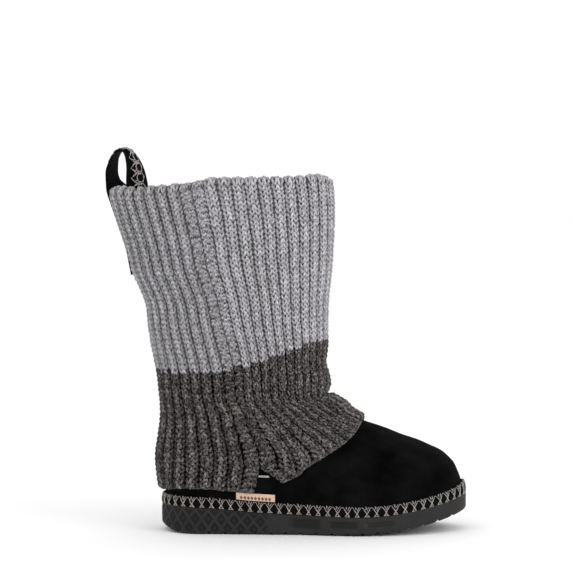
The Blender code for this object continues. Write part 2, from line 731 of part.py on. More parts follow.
def strap_sections(width, low, high):
    """Sections of a strap along the pull loop: up the outside, over in the air, and down the inside.

    low and high are the strap's faces, measured from the face that lies on the boot.
    """
    across = np.linspace(-1, 1, 5) * width / 2
    knit_face = KNIT_EASE + KNIT_WALL + RIB_HEIGHT + STRAP_EASE
    sections = []
    collar = body(TOP_LEVEL, LOOP_TURN)
    outward = skin(TOP_LEVEL, LOOP_TURN, 1.0) - collar
    outward[2] = 0
    outward /= np.linalg.norm(outward)
    side = np.cross(outward, [0, 0, 1])
    facing = outward

    def on_wall(level, turn, off_low, off_high):
        step = np.linalg.norm(body(level, turn + 0.01) - body(level, turn - 0.01)) / 0.02
        turns = turn + across / step
        return skin(level, turns, off_low), skin(level, turns, off_high)

    def section(lower, upper):
        return np.concatenate([lower, upper[::-1]])

    tail_level = level_at(collar[2] - LOOP_TAIL, LOOP_TAIL_TURN)
    for share in np.linspace(0, 1, 9):
        level, turn = mix(tail_level, TOP_LEVEL, share), mix(LOOP_TAIL_TURN, LOOP_COLLAR_TURN, share)
        sections.append(section(*on_wall(level, turn, knit_face + low, knit_face + high)))
    middle = collar + outward * (knit_face - UPPER_WALL) / 2 + np.array([0, 0, KNIT_OVERLAP])
    path = np.array([middle + outward * r.out * LOOP_SPAN + side * r.aside * WEBBING_WIDTH for r in LOOP])
    path[:, 2] += [r.up * LOOP_HEIGHT for r in LOOP]
    start = sections[-1].mean(axis=0)
    inner_face = -(UPPER_WALL + STRAP_EASE)
    inside = []
    for drop in np.linspace(LOOP_INNER_START, LOOP_INNER_TAIL, 3):
        level = level_at(collar[2] - drop, LOOP_INNER_TURN)
        inside.append(section(*on_wall(level, LOOP_INNER_TURN, inner_face - low, inner_face - high)))
    whole = np.vstack([start, path, inside[0].mean(axis=0)])
    for k, row in enumerate(LOOP):
        heading = whole[k + 2] - whole[k]
        heading /= np.linalg.norm(heading)
        twist = math.radians(row.twist)
        wide = side * math.cos(twist) + outward * math.sin(twist)
        wide -= heading * np.dot(wide, heading)
        wide /= np.linalg.norm(wide)
        face = np.cross(wide, heading)
        facing = face * np.sign(np.dot(face, facing))
        line = whole[k + 1] + across[:, None] * wide
        sections.append(section(line + facing * low, line + facing * high))
    return np.array(sections + inside)


def make_pull_loop(material, tape_material):
    """Webbing sewn to the back of the leg, up and over into the collar, with a patterned tape on it."""
    webbing = strap_sections(WEBBING_WIDTH, 0.0, WEBBING_THICKNESS)
    add_sweep("pull_loop", webbing, material, closed=False)
    under = WEBBING_THICKNESS + TAPE_GAP
    tape = strap_sections(LOOP_TAPE_WIDTH, under, under + LOOP_TAPE_THICKNESS)
    add_sweep("loop_tape", tape, tape_material, closed=False)


def make_boot():
    rubber = finish("sole_rubber", (0.055, 0.055, 0.058), 0.62)
    suede = finish("black_suede", (0.012, 0.011, 0.012), 0.92)
    knit = finish("heather_knit", (0.24, 0.24, 0.25), 0.95)
    braid = finish("braid", (0.05, 0.048, 0.046), 0.85)
    webbing = finish("webbing", (0.012, 0.011, 0.012), 0.8)
    tag = finish("tag_leather", (0.72, 0.50, 0.38), 0.6)
    lining = finish("footbed_pile", (0.10, 0.10, 0.105), 0.95)
    make_outsole(rubber)
    make_upper(suede)
    make_insole(lining)
    make_sole_braid(braid)
    make_side_tag(tag)
    make_knit_panel("knit_front", FRONT_RIBS, True, knit)
    make_knit_panel("knit_back", BACK_RIBS, False, knit)
    make_pull_loop(webbing, braid)


make_boot()
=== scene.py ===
"""Looks of a right boot: suede foot, moulded sole, braided rim and a leg knitted in ribs."""
import math

import bpy
import numpy as np
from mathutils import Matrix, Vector


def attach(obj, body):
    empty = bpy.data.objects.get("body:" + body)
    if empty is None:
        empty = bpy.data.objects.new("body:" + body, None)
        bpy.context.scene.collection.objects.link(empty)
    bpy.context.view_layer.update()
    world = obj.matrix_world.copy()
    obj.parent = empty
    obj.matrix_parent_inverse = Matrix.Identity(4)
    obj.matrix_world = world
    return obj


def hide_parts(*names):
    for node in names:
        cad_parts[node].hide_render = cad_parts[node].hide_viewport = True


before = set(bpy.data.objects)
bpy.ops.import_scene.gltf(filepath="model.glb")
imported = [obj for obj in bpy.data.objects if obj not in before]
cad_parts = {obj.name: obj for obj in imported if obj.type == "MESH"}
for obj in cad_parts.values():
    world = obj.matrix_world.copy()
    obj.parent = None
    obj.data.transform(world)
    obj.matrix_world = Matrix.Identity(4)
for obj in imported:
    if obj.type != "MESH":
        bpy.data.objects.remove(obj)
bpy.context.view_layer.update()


# The studio: a white floor, an even white sky, one broad weak lamp from the upper left and a stronger one
# from the right, and the camera a little above the middle of the boot, square to its outer side.
def new_material(name, values):
    """A material and its shader, with plain values set on the shader's own sockets."""
    material = bpy.data.materials.new(name)
    material.use_nodes = True
    shader = material.node_tree.nodes["Principled BSDF"]
    for socket, value in values.items():
        shader.inputs[socket].default_value = value
    return material, shader


def add_lamp(name, place, aim, size, power):
    lamp = bpy.data.lights.new(name, "AREA")
    lamp.energy = power
    lamp.size = size
    holder = bpy.data.objects.new(name, lamp)
    holder.location = place
    holder.rotation_euler = (Vector(place) - Vector(aim)).to_track_quat("Z", "Y").to_euler()
    bpy.context.scene.collection.objects.link(holder)


FLOOR_REACH = 12.0
floor_white, _ = new_material("floor_white", {"Roughness": 0.9, "Base Color": (0.97, 0.97, 0.97, 1)})
floor_mesh = bpy.data.meshes.new("floor")
floor_corners = [(x * FLOOR_REACH, y * FLOOR_REACH, 0) for x, y in ((-1, -1), (1, -1), (1, 1), (-1, 1))]
floor_mesh.from_pydata(floor_corners, [], [(0, 1, 2, 3)])
floor_mesh.materials.append(floor_white)
floor = bpy.data.objects.new("floor", floor_mesh)
bpy.context.scene.collection.objects.link(floor)

sky = bpy.data.worlds.new("studio_sky")
sky.use_nodes = True
backdrop = sky.node_tree.nodes["Background"]
backdrop.inputs["Color"].default_value, backdrop.inputs["Strength"].default_value = (1, 1, 1, 1), 1.03
bpy.context.scene.world = sky
bpy.context.scene.view_settings.view_transform = "Standard"
BOOT_MIDDLE = (0.075, 0.0, 0.17)
add_lamp("key_lamp", (-1.3, -1.9, 2.1), BOOT_MIDDLE, size=1.6, power=4)
add_lamp("fill_lamp", (1.9, -1.4, 1.3), BOOT_MIDDLE, size=1.6, power=15)

camera_data = bpy.data.cameras.new("camera")
camera_data.sensor_width, camera_data.lens = 36, 153.8
camera = bpy.data.objects.new("camera", camera_data)
camera.location = (0.0755, -2.2, 0.335)
VIEW_AIM = Vector((0.0755, 0.0, 0.219))
camera.rotation_euler = (camera.location - VIEW_AIM).to_track_quat("Z", "Y").to_euler()
bpy.context.scene.collection.objects.link(camera)
bpy.context.scene.camera = camera


# The outsole: dark rubber moulded in one piece, thicker under the heel. A lattice of diamonds runs
# round its heel, three slots along each side, and grooves cross the tread. Sizes are the solid's own.
SOLE_LENGTH, BALL_WIDTH, HEEL_WIDTH = 0.275, 0.100, 0.074
HEEL_THICKNESS, FOREFOOT_THICKNESS = 0.025, 0.0155
TOE_SPRING, SPRING_START, SPRING_POWER = 0.018, 0.60, 1.9
HEEL_ROLL, ROLL_END = 0.006, 0.080
EDGE_ROUND = 0.0030
TREAD_DEPTH, TREAD_GROOVE, TREAD_PITCH, TREAD_START, TREAD_END = 0.0024, 0.0022, 0.0136, -0.028, 0.232
LATTICE_PITCH, LATTICE_END = 0.0116, 0.058
SLOT_FIRST, SLOT_PITCH, SLOT_LENGTH, SLOT_DEPTH = 0.078, 0.033, 0.027, 0.0008
HEEL_ROUND, TOE_ROUND, TOE_POWER = 0.135, 0.250, 2.15
BACK_EDGE = -HEEL_WIDTH / 2

OUTLINE = {
    "along": (0.000, 0.140, 0.420, 0.560, 0.680, 0.820, 1.000),
    "half": (0.370, 0.370, 0.385, 0.450, 0.500, 0.475, 0.430),
    "shift": (0.000, 0.000, -0.030, -0.025, 0.000, 0.030, 0.060),
}
WEDGE = {
    "along": (0.00, 0.14, 0.30, 0.48, 0.60, 0.75, 1.00),
    "wedge": (1.00, 0.89, 0.52, 0.28, 0.16, 0.03, 0.00),
}


def curve_through(places, values, at):
    """Reads a smooth curve through the given values that never overshoots them."""
    places, values = np.asarray(places, float), np.asarray(values, float)
    at = np.clip(np.asarray(at, float), places[0], places[-1])
    gaps = np.diff(places)
    slopes = np.diff(values) / gaps
    tangents = np.zeros_like(values)
    same_way = slopes[1:] * slopes[:-1] > 0
    weight_a, weight_b = 2 * gaps[1:] + gaps[:-1], gaps[1:] + 2 * gaps[:-1]
    safe = np.where(same_way, slopes[:-1], 1.0), np.where(same_way, slopes[1:], 1.0)
    mean = (weight_a + weight_b) / (weight_a / safe[0] + weight_b / safe[1])
    tangents[1:-1] = np.where(same_way, mean, 0.0)
    tangents[0], tangents[-1] = slopes[0], slopes[-1]
    index = np.clip(np.searchsorted(places, at, side="right") - 1, 0, len(gaps) - 1)
    gap = gaps[index]
    u = (at - places[index]) / gap
    start = (1 + 2 * u) * (1 - u) ** 2 * values[index] + u * (1 - u) ** 2 * gap * tangents[index]
    end = u**2 * (3 - 2 * u) * values[index + 1] + u**2 * (u - 1) * gap * tangents[index + 1]
    return start + end


def column(table, name, by, at):
    return curve_through(table[by], table[name], at)


def mix(a, b, share):
    return a + (b - a) * share


def along_of(x):
    return np.clip((np.asarray(x, float) - BACK_EDGE) / SOLE_LENGTH, 0.0, 1.0)


def outline_half(along):
    heel_gap = np.clip((HEEL_ROUND - along) / HEEL_ROUND, 0, 1)
    toe_gap = np.clip((along - (1 - TOE_ROUND)) / TOE_ROUND, 0, 1)
    heel_end = np.sqrt(1 - heel_gap**2)
    toe_end = (1 - toe_gap**TOE_POWER) ** (1 / TOE_POWER)
    side = column(OUTLINE, "half", "along", along) * 2
    heel_share = HEEL_WIDTH / BALL_WIDTH - OUTLINE["half"][0] * 2
    return (side + heel_share * np.clip(1 - along / OUTLINE["along"][2], 0, 1)) * heel_end * toe_end


def outline_shift(along):
    return column(OUTLINE, "shift", "along", along) * BALL_WIDTH


def toe_lift(along):
    return TOE_SPRING * np.clip((along - SPRING_START) / (1 - SPRING_START), 0, 1) ** SPRING_POWER


def sole_bottom(x):
    along = along_of(x)
    return toe_lift(along) + HEEL_ROLL * np.clip(1 - along / ROLL_END, 0, 1) ** 2


def sole_top(x):
    along = along_of(x)
    return toe_lift(along) + mix(FOREFOOT_THICKNESS, HEEL_THICKNESS, column(WEDGE, "wedge", "along", along))


def grid_faces(rows, columns, wrap=False, first=0):
    """Quads between the points of a grid that starts at point number first."""
    row = np.arange(rows - 1)[:, None] * columns + first
    col = np.arange(columns if wrap else columns - 1)[None, :]
    beside = (col + 1) % columns
    corners = [row + col, row + beside, row + columns + beside, row + columns + col]
    return np.stack(corners, axis=-1).reshape(-1, 4)


def capped_faces(rings, columns):
    """Faces between closed rings that start at one end of the boot, and a flat cap at either end."""
    faces = [tuple(f) for f in grid_faces(rings, columns, wrap=True)]
    for base in (0, (rings - 1) * columns):
        for k in range(columns // 2):
            corners = [k, k + 1, (columns - k - 1) % columns, (columns - k) % columns]
            faces.append(tuple(dict.fromkeys(base + c for c in corners)))
    return faces


def signed_volume(mesh):
    mesh.calc_loop_triangles()
    corner = np.zeros(len(mesh.loop_triangles) * 3, np.int32)
    mesh.loop_triangles.foreach_get("vertices", corner)
    place = np.zeros(len(mesh.vertices) * 3)
    mesh.vertices.foreach_get("co", place)
    a, b, c = place.reshape(-1, 3)[corner.reshape(-1, 3)].transpose(1, 0, 2)
    return float(np.einsum("ij,ij->i", a, np.cross(b, c)).sum())


def dress(name, mesh, node):
    """Puts a smooth mesh in the scene, its faces pointing out, riding on the boot."""
    mesh.shade_smooth()
    if signed_volume(mesh) < 0:
        mesh.flip_normals()
    piece = bpy.data.objects.new(name, mesh)
    bpy.context.scene.collection.objects.link(piece)
    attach(piece, "root")
    if node:
        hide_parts(node)
    return piece


def store_values(mesh, name, values):
    kept = mesh.attributes.new(name, "FLOAT", "POINT")
    kept.data.foreach_set("value", np.asarray(values, np.float32).ravel())


def add_piece(name, points, faces, materials, node, indices=None):
    mesh = bpy.data.meshes.new(name)
    mesh.from_pydata(np.asarray(points, float).reshape(-1, 3).tolist(), [], [tuple(map(int, f)) for f in faces])
    for material in materials:
        mesh.materials.append(material)
    if indices is not None:
        mesh.polygons.foreach_set("material_index", np.asarray(indices, np.int32))
    mesh.update()
    return dress(name, mesh, node)


# One node group gives every material its clouds of two colours.
FLOAT, COLOUR = "NodeSocketFloat", "NodeSocketColor"
mottle_group = bpy.data.node_groups.new("mottle", "ShaderNodeTree")
for label, side, kind in (
    ("Low", "INPUT", COLOUR), ("High", "INPUT", COLOUR), ("Scale", "INPUT", FLOAT),
    ("Contrast", "INPUT", FLOAT), ("Color", "OUTPUT", COLOUR), ("Mask", "OUTPUT", FLOAT),
):
    mottle_group.interface.new_socket(label, in_out=side, socket_type=kind)
make, link = mottle_group.nodes.new, mottle_group.links.new
given, result, place = make("NodeGroupInput"), make("NodeGroupOutput"), make("ShaderNodeTexCoord")
noise, centre, stretch = make("ShaderNodeTexNoise"), make("ShaderNodeMath"), make("ShaderNodeMath")
blend = make("ShaderNodeMix")
noise.inputs["Detail"].default_value, noise.inputs["Roughness"].default_value = 3.0, 0.6
centre.operation, centre.inputs[1].default_value = "SUBTRACT", 0.5
stretch.operation, stretch.use_clamp, stretch.inputs[2].default_value = "MULTIPLY_ADD", True, 0.5
blend.data_type = "RGBA"
for start, end in (
    (place.outputs["Object"], noise.inputs["Vector"]),
    (given.outputs["Scale"], noise.inputs["Scale"]),
    (noise.outputs["Fac"], centre.inputs[0]),
    (centre.outputs[0], stretch.inputs[0]),
    (given.outputs["Contrast"], stretch.inputs[1]),
    (stretch.outputs[0], blend.inputs["Factor"]),
    (given.outputs["Low"], blend.inputs["A"]),
    (given.outputs["High"], blend.inputs["B"]),
    (blend.outputs["Result"], result.inputs["Color"]),
    (stretch.outputs[0], result.inputs["Mask"]),
):
    link(start, end)


def feed(shader, source, socket="Base Color"):
    shader.id_data.links.new(source, shader.inputs[socket])


def add_mottle(shader, low, high, scale, contrast):
    """A cloud of two colours, at so many patches to the metre."""
    mottle = shader.id_data.nodes.new("ShaderNodeGroup")
    mottle.node_tree = mottle_group
    for label, value in (("Low", (*low, 1)), ("High", (*high, 1)), ("Scale", scale), ("Contrast", contrast)):
        mottle.inputs[label].default_value = value
    return mottle.outputs["Color"], mottle.outputs["Mask"]


def add_bump(shader, height, distance, strength=1.0):
    bump = shader.id_data.nodes.new("ShaderNodeBump")
    bump.inputs["Distance"].default_value, bump.inputs["Strength"].default_value = distance, strength
    feed(bump, height, "Height")
    feed(shader, bump.outputs["Normal"], "Normal")


def read_attribute(shader, name):
    reader = shader.id_data.nodes.new("ShaderNodeAttribute")
    reader.attribute_name = name
    return reader.outputs["Fac"]


def map_range(shader, value, low, high, start=0.0):
    """Turns a value from start to 1 into one from low to high."""
    spread = shader.id_data.nodes.new("ShaderNodeMapRange")
    for label, number in (("From Min", start), ("To Min", low), ("To Max", high)):
        spread.inputs[label].default_value = number
    feed(spread, value, "Value")
    return spread.outputs["Result"]


def scale_colour(shader, colour, factor):
    """Paints the shader with a colour made darker or lighter by a factor."""
    scaled = shader.id_data.nodes.new("ShaderNodeVectorMath")
    scaled.operation = "SCALE"
    feed(scaled, colour, 0)
    feed(scaled, factor, "Scale")
    feed(shader, scaled.outputs["Vector"])


rubber, shader = new_material("sole_rubber", {"Roughness": 0.6, "Specular IOR Level": 0.18})
scuff_colour, scuff_mask = add_mottle(shader, (0.0105, 0.0100, 0.0104), (0.0180, 0.0172, 0.0178), 45.0, 2.2)
# The rubber's colour is scaled by the moulding's painted light: darker in its recesses, lighter on its raised
# studs, ramps and bars.
scale_colour(shader, scuff_colour, map_range(shader, read_attribute(shader, "relief_shade_and_highlight"), 2.6, 0.30, start=-1.0))
pores = add_mottle(shader, (0, 0, 0), (1, 1, 1), 1400.0, 1.5)[1]
add_bump(shader, pores, 0.00012, 0.6)
feed(shader, map_range(shader, scuff_mask, 0.52, 0.70), "Roughness")

# The sole's outline, in even steps: along the outer side from toe to heel and back along the inner one.
SIDE_STEPS, PLAN_MIDDLE = 420, (0.1, 0.0)
shares = (1 + np.cos(np.linspace(0, math.pi, 3000))) / 2
side_x, side_y = shares * SOLE_LENGTH, outline_half(shares) * BALL_WIDTH / 2 - outline_shift(shares)
run = np.concatenate([[0], np.cumsum(np.hypot(np.diff(side_x), np.diff(side_y)))])
stations = np.interp(np.linspace(0, run[-1], SIDE_STEPS + 1), run, shares)
half = outline_half(stations) * BALL_WIDTH / 2
outer_side = np.stack([BACK_EDGE + stations * SOLE_LENGTH, outline_shift(stations) - half], axis=-1)
inner_side = np.stack([outer_side[:, 0], outline_shift(stations) + half], axis=-1)[1:-1][::-1]
plan = np.concatenate([outer_side, inner_side])
from_heel = (np.arange(len(plan)) - SIDE_STEPS) * run[-1] / SIDE_STEPS
tangent = np.roll(plan, -1, axis=0) - np.roll(plan, 1, axis=0)
tangent /= np.linalg.norm(tangent, axis=1, keepdims=True)
inward = np.stack([tangent[:, 1], -tangent[:, 0]], axis=-1)
inward *= np.sign(np.einsum("ij,ij->i", inward, np.array(PLAN_MIDDLE) - plan))[:, None]


def soft_step(value, width):
    """0 below zero, 1 above it, rounded over the width."""
    return 0.5 + 0.5 * np.tanh(value / width * 2)


# The lattice's lines lean by so many cells over the sole's height. The slots' heights, and the place of
# their middle, are shares of that height. Each slot also has a share of painted highlight for the ramp at its
# end.
LATTICE_LEAN, LATTICE_DROP, PIT_REACH, STUD_REACH, PIT_DEPTH, STUD_RISE = 1.45, 0.12, 0.37, 0.13, 0.0009, 0.0006
SLOT_HEIGHTS, SLOT_HIGHLIGHTS, SLOT_MIDDLE = (0.46, 0.34, 0.20), (0.10, 0.25, 0.60), 0.56
RAMP_BEHIND, RAMP_WIDTH, RAMP_RISE, BAR_REACH = 0.0018, 0.0016, 0.0004, 0.035
RIM_LINE, RIM_REACH = 0.93, 0.0005


def side_relief(x, s, share, thick):
    """Depth of the moulding at a place on the sole's side, and how much painted shade (1) or painted highlight
    (-1) it gets there.
    """
    band = soft_step(share - 0.10, 0.04) * soft_step(RIM_LINE - share, 0.04)
    lattice = band * soft_step(LATTICE_END - x, 0.004)
    lean = (share + LATTICE_DROP) * LATTICE_LEAN
    down, up = s / LATTICE_PITCH + lean, s / LATTICE_PITCH - lean
    cell = np.maximum(np.abs(down - np.floor(down) - 0.5), np.abs(up - np.floor(up) - 0.5))
    pit, stud = soft_step(PIT_REACH - cell, 0.07), soft_step(STUD_REACH - cell, 0.06)
    depth = lattice * (PIT_DEPTH * pit - STUD_RISE * stud)
    # Painted shade darkens the lattice's pits, and painted highlight lightens its studs.
    shade = lattice * (0.80 * pit - 0.50 * stud - 0.04 * (1 - pit))
    for k, (height, ramp_highlight) in enumerate(zip(SLOT_HEIGHTS, SLOT_HIGHLIGHTS)):
        start = SLOT_FIRST + k * SLOT_PITCH
        ends = soft_step(x - start, RAMP_WIDTH) * soft_step(start + SLOT_LENGTH - x, RAMP_WIDTH)
        walls = soft_step(height / 2 - np.abs(share - SLOT_MIDDLE), 0.06)
        ramp = np.exp(-(((x - start - RAMP_BEHIND) / RAMP_WIDTH) ** 2))
        ramp = ramp * soft_step(height / 2 + 0.02 - np.abs(share - SLOT_MIDDLE + 0.02), 0.06)
        bar = ends * np.exp(-(((share - SLOT_MIDDLE - 0.02) / BAR_REACH) ** 2))
        depth = depth + SLOT_DEPTH * ends * walls - RAMP_RISE * ramp - RAMP_RISE * bar * (k == 2)
        # Painted shade darkens the slots, and painted highlight lightens the ramps at their ends and the bars
        # along them.
        shade = shade + 0.65 * ends * walls - (0.35 + ramp_highlight) * ramp - bar * (0, 0.25, 0.9)[k]
    line = np.exp(-(((share - RIM_LINE) * thick / RIM_REACH) ** 2))
    return depth + RAMP_RISE * line, np.clip(shade, -1, 1)


def tread_rise(x):
    """How far the floor of the nearest groove lies above the tread's face."""
    nearest = (np.floor(x / TREAD_PITCH) + 0.5) * TREAD_PITCH
    within = (nearest > TREAD_START) & (nearest < TREAD_END)
    return TREAD_DEPTH * within * np.clip(1.35 * (1 - np.abs(x - nearest) / TREAD_GROOVE), 0, 1)


TOP_ROUND = EDGE_ROUND * 0.4
edge_shares = np.concatenate([[0.0, 0.02, 0.05, 0.09], np.linspace(0.13, 0.97, 30), [0.99, 1.0]])
rings, side_shades = [], []
bottom, top = sole_bottom(plan[:, 0]), sole_top(plan[:, 0])
for share in edge_shares:
    low_turn = np.clip(1 - share * (top - bottom) / EDGE_ROUND, 0, 1)
    high_turn = np.clip(1 - (1 - share) * (top - bottom) / TOP_ROUND, 0, 1)
    inset = EDGE_ROUND * (1 - np.sqrt(1 - low_turn**2)) + TOP_ROUND * (1 - np.sqrt(1 - high_turn**2))
    relief, side_shade = side_relief(plan[:, 0], from_heel, share, top - bottom)
    side_shades.append(side_shade)
    height = np.maximum(bottom + tread_rise(plan[:, 0]), mix(bottom, top, share))
    rings.append(np.column_stack([plan + inward * (inset + relief)[:, None], height]))
sole_faces = capped_faces(len(rings), len(plan))
sole = add_piece("sole_side_and_tread", rings, sole_faces, [rubber], "outsole")
store_values(sole.data, "relief_shade_and_highlight", side_shades)


# The footbed: a board covered in short grey pile that lies on the sole inside the upper.
UPPER_WALL, UPPER_INSET, CLEARANCE = 0.003, 0.0045, 0.0003
INSTEP_RISE, HEEL_BULGE, ANKLE_DEPTH = 0.088, 0.005, 0.139
LEG_HEIGHT, COLLAR_SLOPE, COLLAR_DEPTH, LEG_LEAN, LEG_WIDTH = 0.189, 0.0130, 0.1905, 0.045, 0.079
INSOLE_THICKNESS = 0.005

FOOT = {
    "heel": (0.00, 0.20, 0.62, 0.90, 1.00, 0.90, 0.72, 0.52, 0.34, 0.20, 0.14, 0.12),
    "front": (0.998, 1.000, 0.990, 0.954, 0.908, 0.838, 0.730, 0.588, 0.444, 0.324, 0.231, 0.138),
    "back_rise": (0.000, 0.102, 0.227, 0.364, 0.466, 0.540, 0.614, 0.688, 0.756, 0.818, 0.875, 0.932),
    "front_rise": (0.000, 0.102, 0.176, 0.290, 0.374, 0.448, 0.522, 0.600, 0.680, 0.741, 0.795, 0.858),
    "width": (1.00, 1.06, 1.08, 0.86, 0.60, 0.40, 0.24, 0.12, 0.04, 0.00, 0.00, 0.00),
    "level": (0.00, 0.00, 0.35, 0.65, 0.85, 1.00, 1.00, 1.00, 1.00, 1.00, 1.00, 1.00),
    "egg": (0.00, 0.00, 0.00, 0.12, 0.30, 0.46, 0.62, 0.78, 0.90, 1.00, 1.00, 1.00),
    "widest": (0.62, 0.62, 0.62, 0.61, 0.60, 0.58, 0.56, 0.54, 0.52, 0.51, 0.50, 0.50),
}
LEG = {
    "up": (0.000, 0.037, 0.085, 0.165, 0.265, 0.360, 0.473, 0.560, 0.636, 0.742, 0.857, 0.950, 1.000),
    "lean": (0.000, 0.015, 0.034, 0.076, 0.160, 0.225, 0.275, 0.405, 0.550, 0.665, 0.825, 0.944, 1.000),
    "depth": (0.122, 0.016, 0.000, 0.043, 0.150, 0.225, 0.287, 0.437, 0.592, 0.715, 0.868, 0.965, 1.000),
    "width": (0.924, 0.932, 0.937, 0.962, 0.987, 1.000, 1.000, 0.987, 0.962, 0.924, 0.873, 0.823, 0.797),
}
TOP_LEVEL = len(FOOT["heel"]) + len(LEG["up"]) - 1
UPPER_BACK, UPPER_TOE = BACK_EDGE + UPPER_INSET, BACK_EDGE + SOLE_LENGTH - UPPER_INSET
ANKLE_BACK = UPPER_BACK - FOOT["heel"][-1] * HEEL_BULGE
ANKLE_FRONT = ANKLE_BACK + ANKLE_DEPTH
ANKLE_HALF, FOOT_HALF = LEG["width"][1] * LEG_WIDTH / 2, BALL_WIDTH / 2 - UPPER_INSET

ring_rows = []
heel_top = float(sole_top(BACK_EDGE)) + CLEARANCE
toe_top = float(sole_top(UPPER_TOE)) + CLEARANCE
for heel, front, back_rise, front_rise, width, level, egg, widest in zip(*FOOT.values()):
    back_place = (UPPER_BACK - heel * HEEL_BULGE, heel_top + back_rise * INSTEP_RISE)
    front_place = (mix(ANKLE_FRONT, UPPER_TOE, front), toe_top + front_rise * INSTEP_RISE)
    ring_rows.append((*back_place, *front_place, mix(ANKLE_HALF, FOOT_HALF, width), level, egg, widest))
for up, lean, depth, width in zip(*LEG.values()):
    back_x, back_z = ANKLE_BACK - lean * LEG_LEAN, heel_top + INSTEP_RISE + up * LEG_HEIGHT
    front_x, front_z = back_x + mix(ANKLE_DEPTH, COLLAR_DEPTH, depth), back_z + up * COLLAR_SLOPE
    ring_rows.append((back_x, back_z, front_x, front_z, width * LEG_WIDTH / 2, 1.0, 1.0, 0.5))
RINGS = np.array(ring_rows)


def body(level, turn):
    """A point of the upper's outer face. turn is 0 at the front and grows towards the outer side."""
    level, turn = np.broadcast_arrays(np.asarray(level, float), np.asarray(turn, float))
    ring = [curve_through(range(len(RINGS)), RINGS[:, k], level) for k in range(RINGS.shape[1])]
    back_x, back_z, front_x, front_z, half, flat, egg, widest = ring
    share = (1 + np.cos(turn)) / 2
    x = mix(back_x, front_x, share)
    sole_line = sole_top(x) - mix(sole_top(back_x), sole_top(front_x), share)
    z = mix(back_z, front_z, share) + (1 - flat) * sole_line
    behind = np.clip((widest - share) / widest, 0, 1)
    ahead = np.clip((share - widest) / (1 - widest), 0, 1)
    egg_half = np.sqrt(np.clip(1 - behind**2 - ahead**2, 0, 1))
    side = half * mix(outline_half(share), egg_half, egg)
    y = (1 - egg) * outline_shift(share) - np.sign(np.sin(turn)) * side
    return np.stack([x, y, z], axis=-1)


def skin_normal(level, turn):
    level, turn = np.broadcast_arrays(np.asarray(level, float), np.asarray(turn, float))
    up = body(np.clip(level + 0.05, 0, TOP_LEVEL), turn) - body(np.clip(level - 0.05, 0, TOP_LEVEL), turn)
    around = body(level, turn + 0.01) - body(level, turn - 0.01)
    normal = np.cross(up, around)
    return normal / np.linalg.norm(normal, axis=-1, keepdims=True)


def skin(level, turn, off=0.0):
    """A point at a distance off the upper's outer face, along the face's own normal."""
    return body(level, turn) + skin_normal(level, turn) * np.asarray(off, float)[..., None]


def mottled_material(name, low, high, scale, contrast, bump, values):
    """A cloth or yarn whose colour and relief follow one mottle."""
    material, shader = new_material(name, values)
    colour, mask = add_mottle(shader, low, high, scale, contrast)
    feed(shader, colour)
    add_bump(shader, mask, bump)
    return material


pile = mottled_material("footbed_pile", (0.05, 0.05, 0.053), (0.17, 0.17, 0.175), 700.0, 3.0, 0.0012,
                        {"Roughness": 0.95, "Sheen Weight": 0.3})

BED_COLUMNS = 160
bed_turns = np.arange(BED_COLUMNS) * 2 * math.pi / BED_COLUMNS
bed_edge = skin(0.0, bed_turns, -(UPPER_WALL + CLEARANCE * 2))
BED_MIDDLE = (0.09, 0.0)
bed_rings = []
for inset, lift in ((0.0, 0.0), (0.0, 0.7), (0.006, 0.93), (0.02, 1.0), (0.06, 1.0)):
    ring = bed_edge.copy()
    ring[:, :2] += (np.array(BED_MIDDLE) - ring[:, :2]) * inset * 2
    ring[:, 2] = sole_top(ring[:, 0]) + CLEARANCE + lift * INSOLE_THICKNESS
    bed_rings.append(ring)
add_piece("footbed", bed_rings, capped_faces(len(bed_rings), BED_COLUMNS), [pile], "insole")


# The upper: black suede over the foot, and the black cloth that lines the leg, made as one wall.
# The nap lies in soft patches, and the suede dimples a little where it was pulled over the last.
suede, shader = new_material("black_suede", {
    "Roughness": 0.95, "Sheen Weight": 0.006, "Sheen Roughness": 0.5, "Specular IOR Level": 0.025})
feed(shader, add_mottle(shader, (0.0012, 0.0011, 0.0012), (0.0064, 0.0059, 0.0062), 34.0, 3.0)[0])
add_bump(shader, add_mottle(shader, (0, 0, 0), (1, 1, 1), 2200.0, 2.0)[1], 0.00035)
lining = mottled_material("leg_lining", (0.003, 0.003, 0.003), (0.009, 0.009, 0.009), 1500.0, 2.5, 0.0004,
                          {"Roughness": 0.95, "Specular IOR Level": 0.05})

SUEDE_COLUMNS, DIMPLE_DEPTH = 200, 0.00035
suede_turns = (np.arange(SUEDE_COLUMNS) * 2 * math.pi / SUEDE_COLUMNS)[None, :]
suede_levels = np.concatenate([np.linspace(0, 12, 73), np.linspace(12.25, TOP_LEVEL, 48)])[:, None]
dimples = DIMPLE_DEPTH * np.sin(suede_turns * 9 + suede_levels * 1.7)
dimples = dimples * np.sin(suede_turns * 5 - suede_levels * 2.3)
outer_face = skin(suede_levels, suede_turns, dimples * (suede_levels > 1.5))
inner_face = skin(suede_levels, suede_turns, -UPPER_WALL + 0 * suede_turns)
inner_face[0, :, 2], inner_face[-1, :, 2] = outer_face[0, :, 2], outer_face[-1, :, 2]
upper_rows = len(suede_levels)
shift = upper_rows * SUEDE_COLUMNS
outer_quads = grid_faces(upper_rows, SUEDE_COLUMNS, wrap=True)
inner_quads = grid_faces(upper_rows, SUEDE_COLUMNS, wrap=True, first=shift)[:, ::-1]
rim_quads = []
for row, flip in ((0, True), (upper_rows - 1, False)):
    for k in range(SUEDE_COLUMNS):
        a, b = row * SUEDE_COLUMNS + k, row * SUEDE_COLUMNS + (k + 1) % SUEDE_COLUMNS
        rim_quads.append((b, a, a + shift, b + shift) if flip else (a, b, b + shift, a + shift))
upper_faces = np.concatenate([outer_quads, inner_quads, rim_quads])
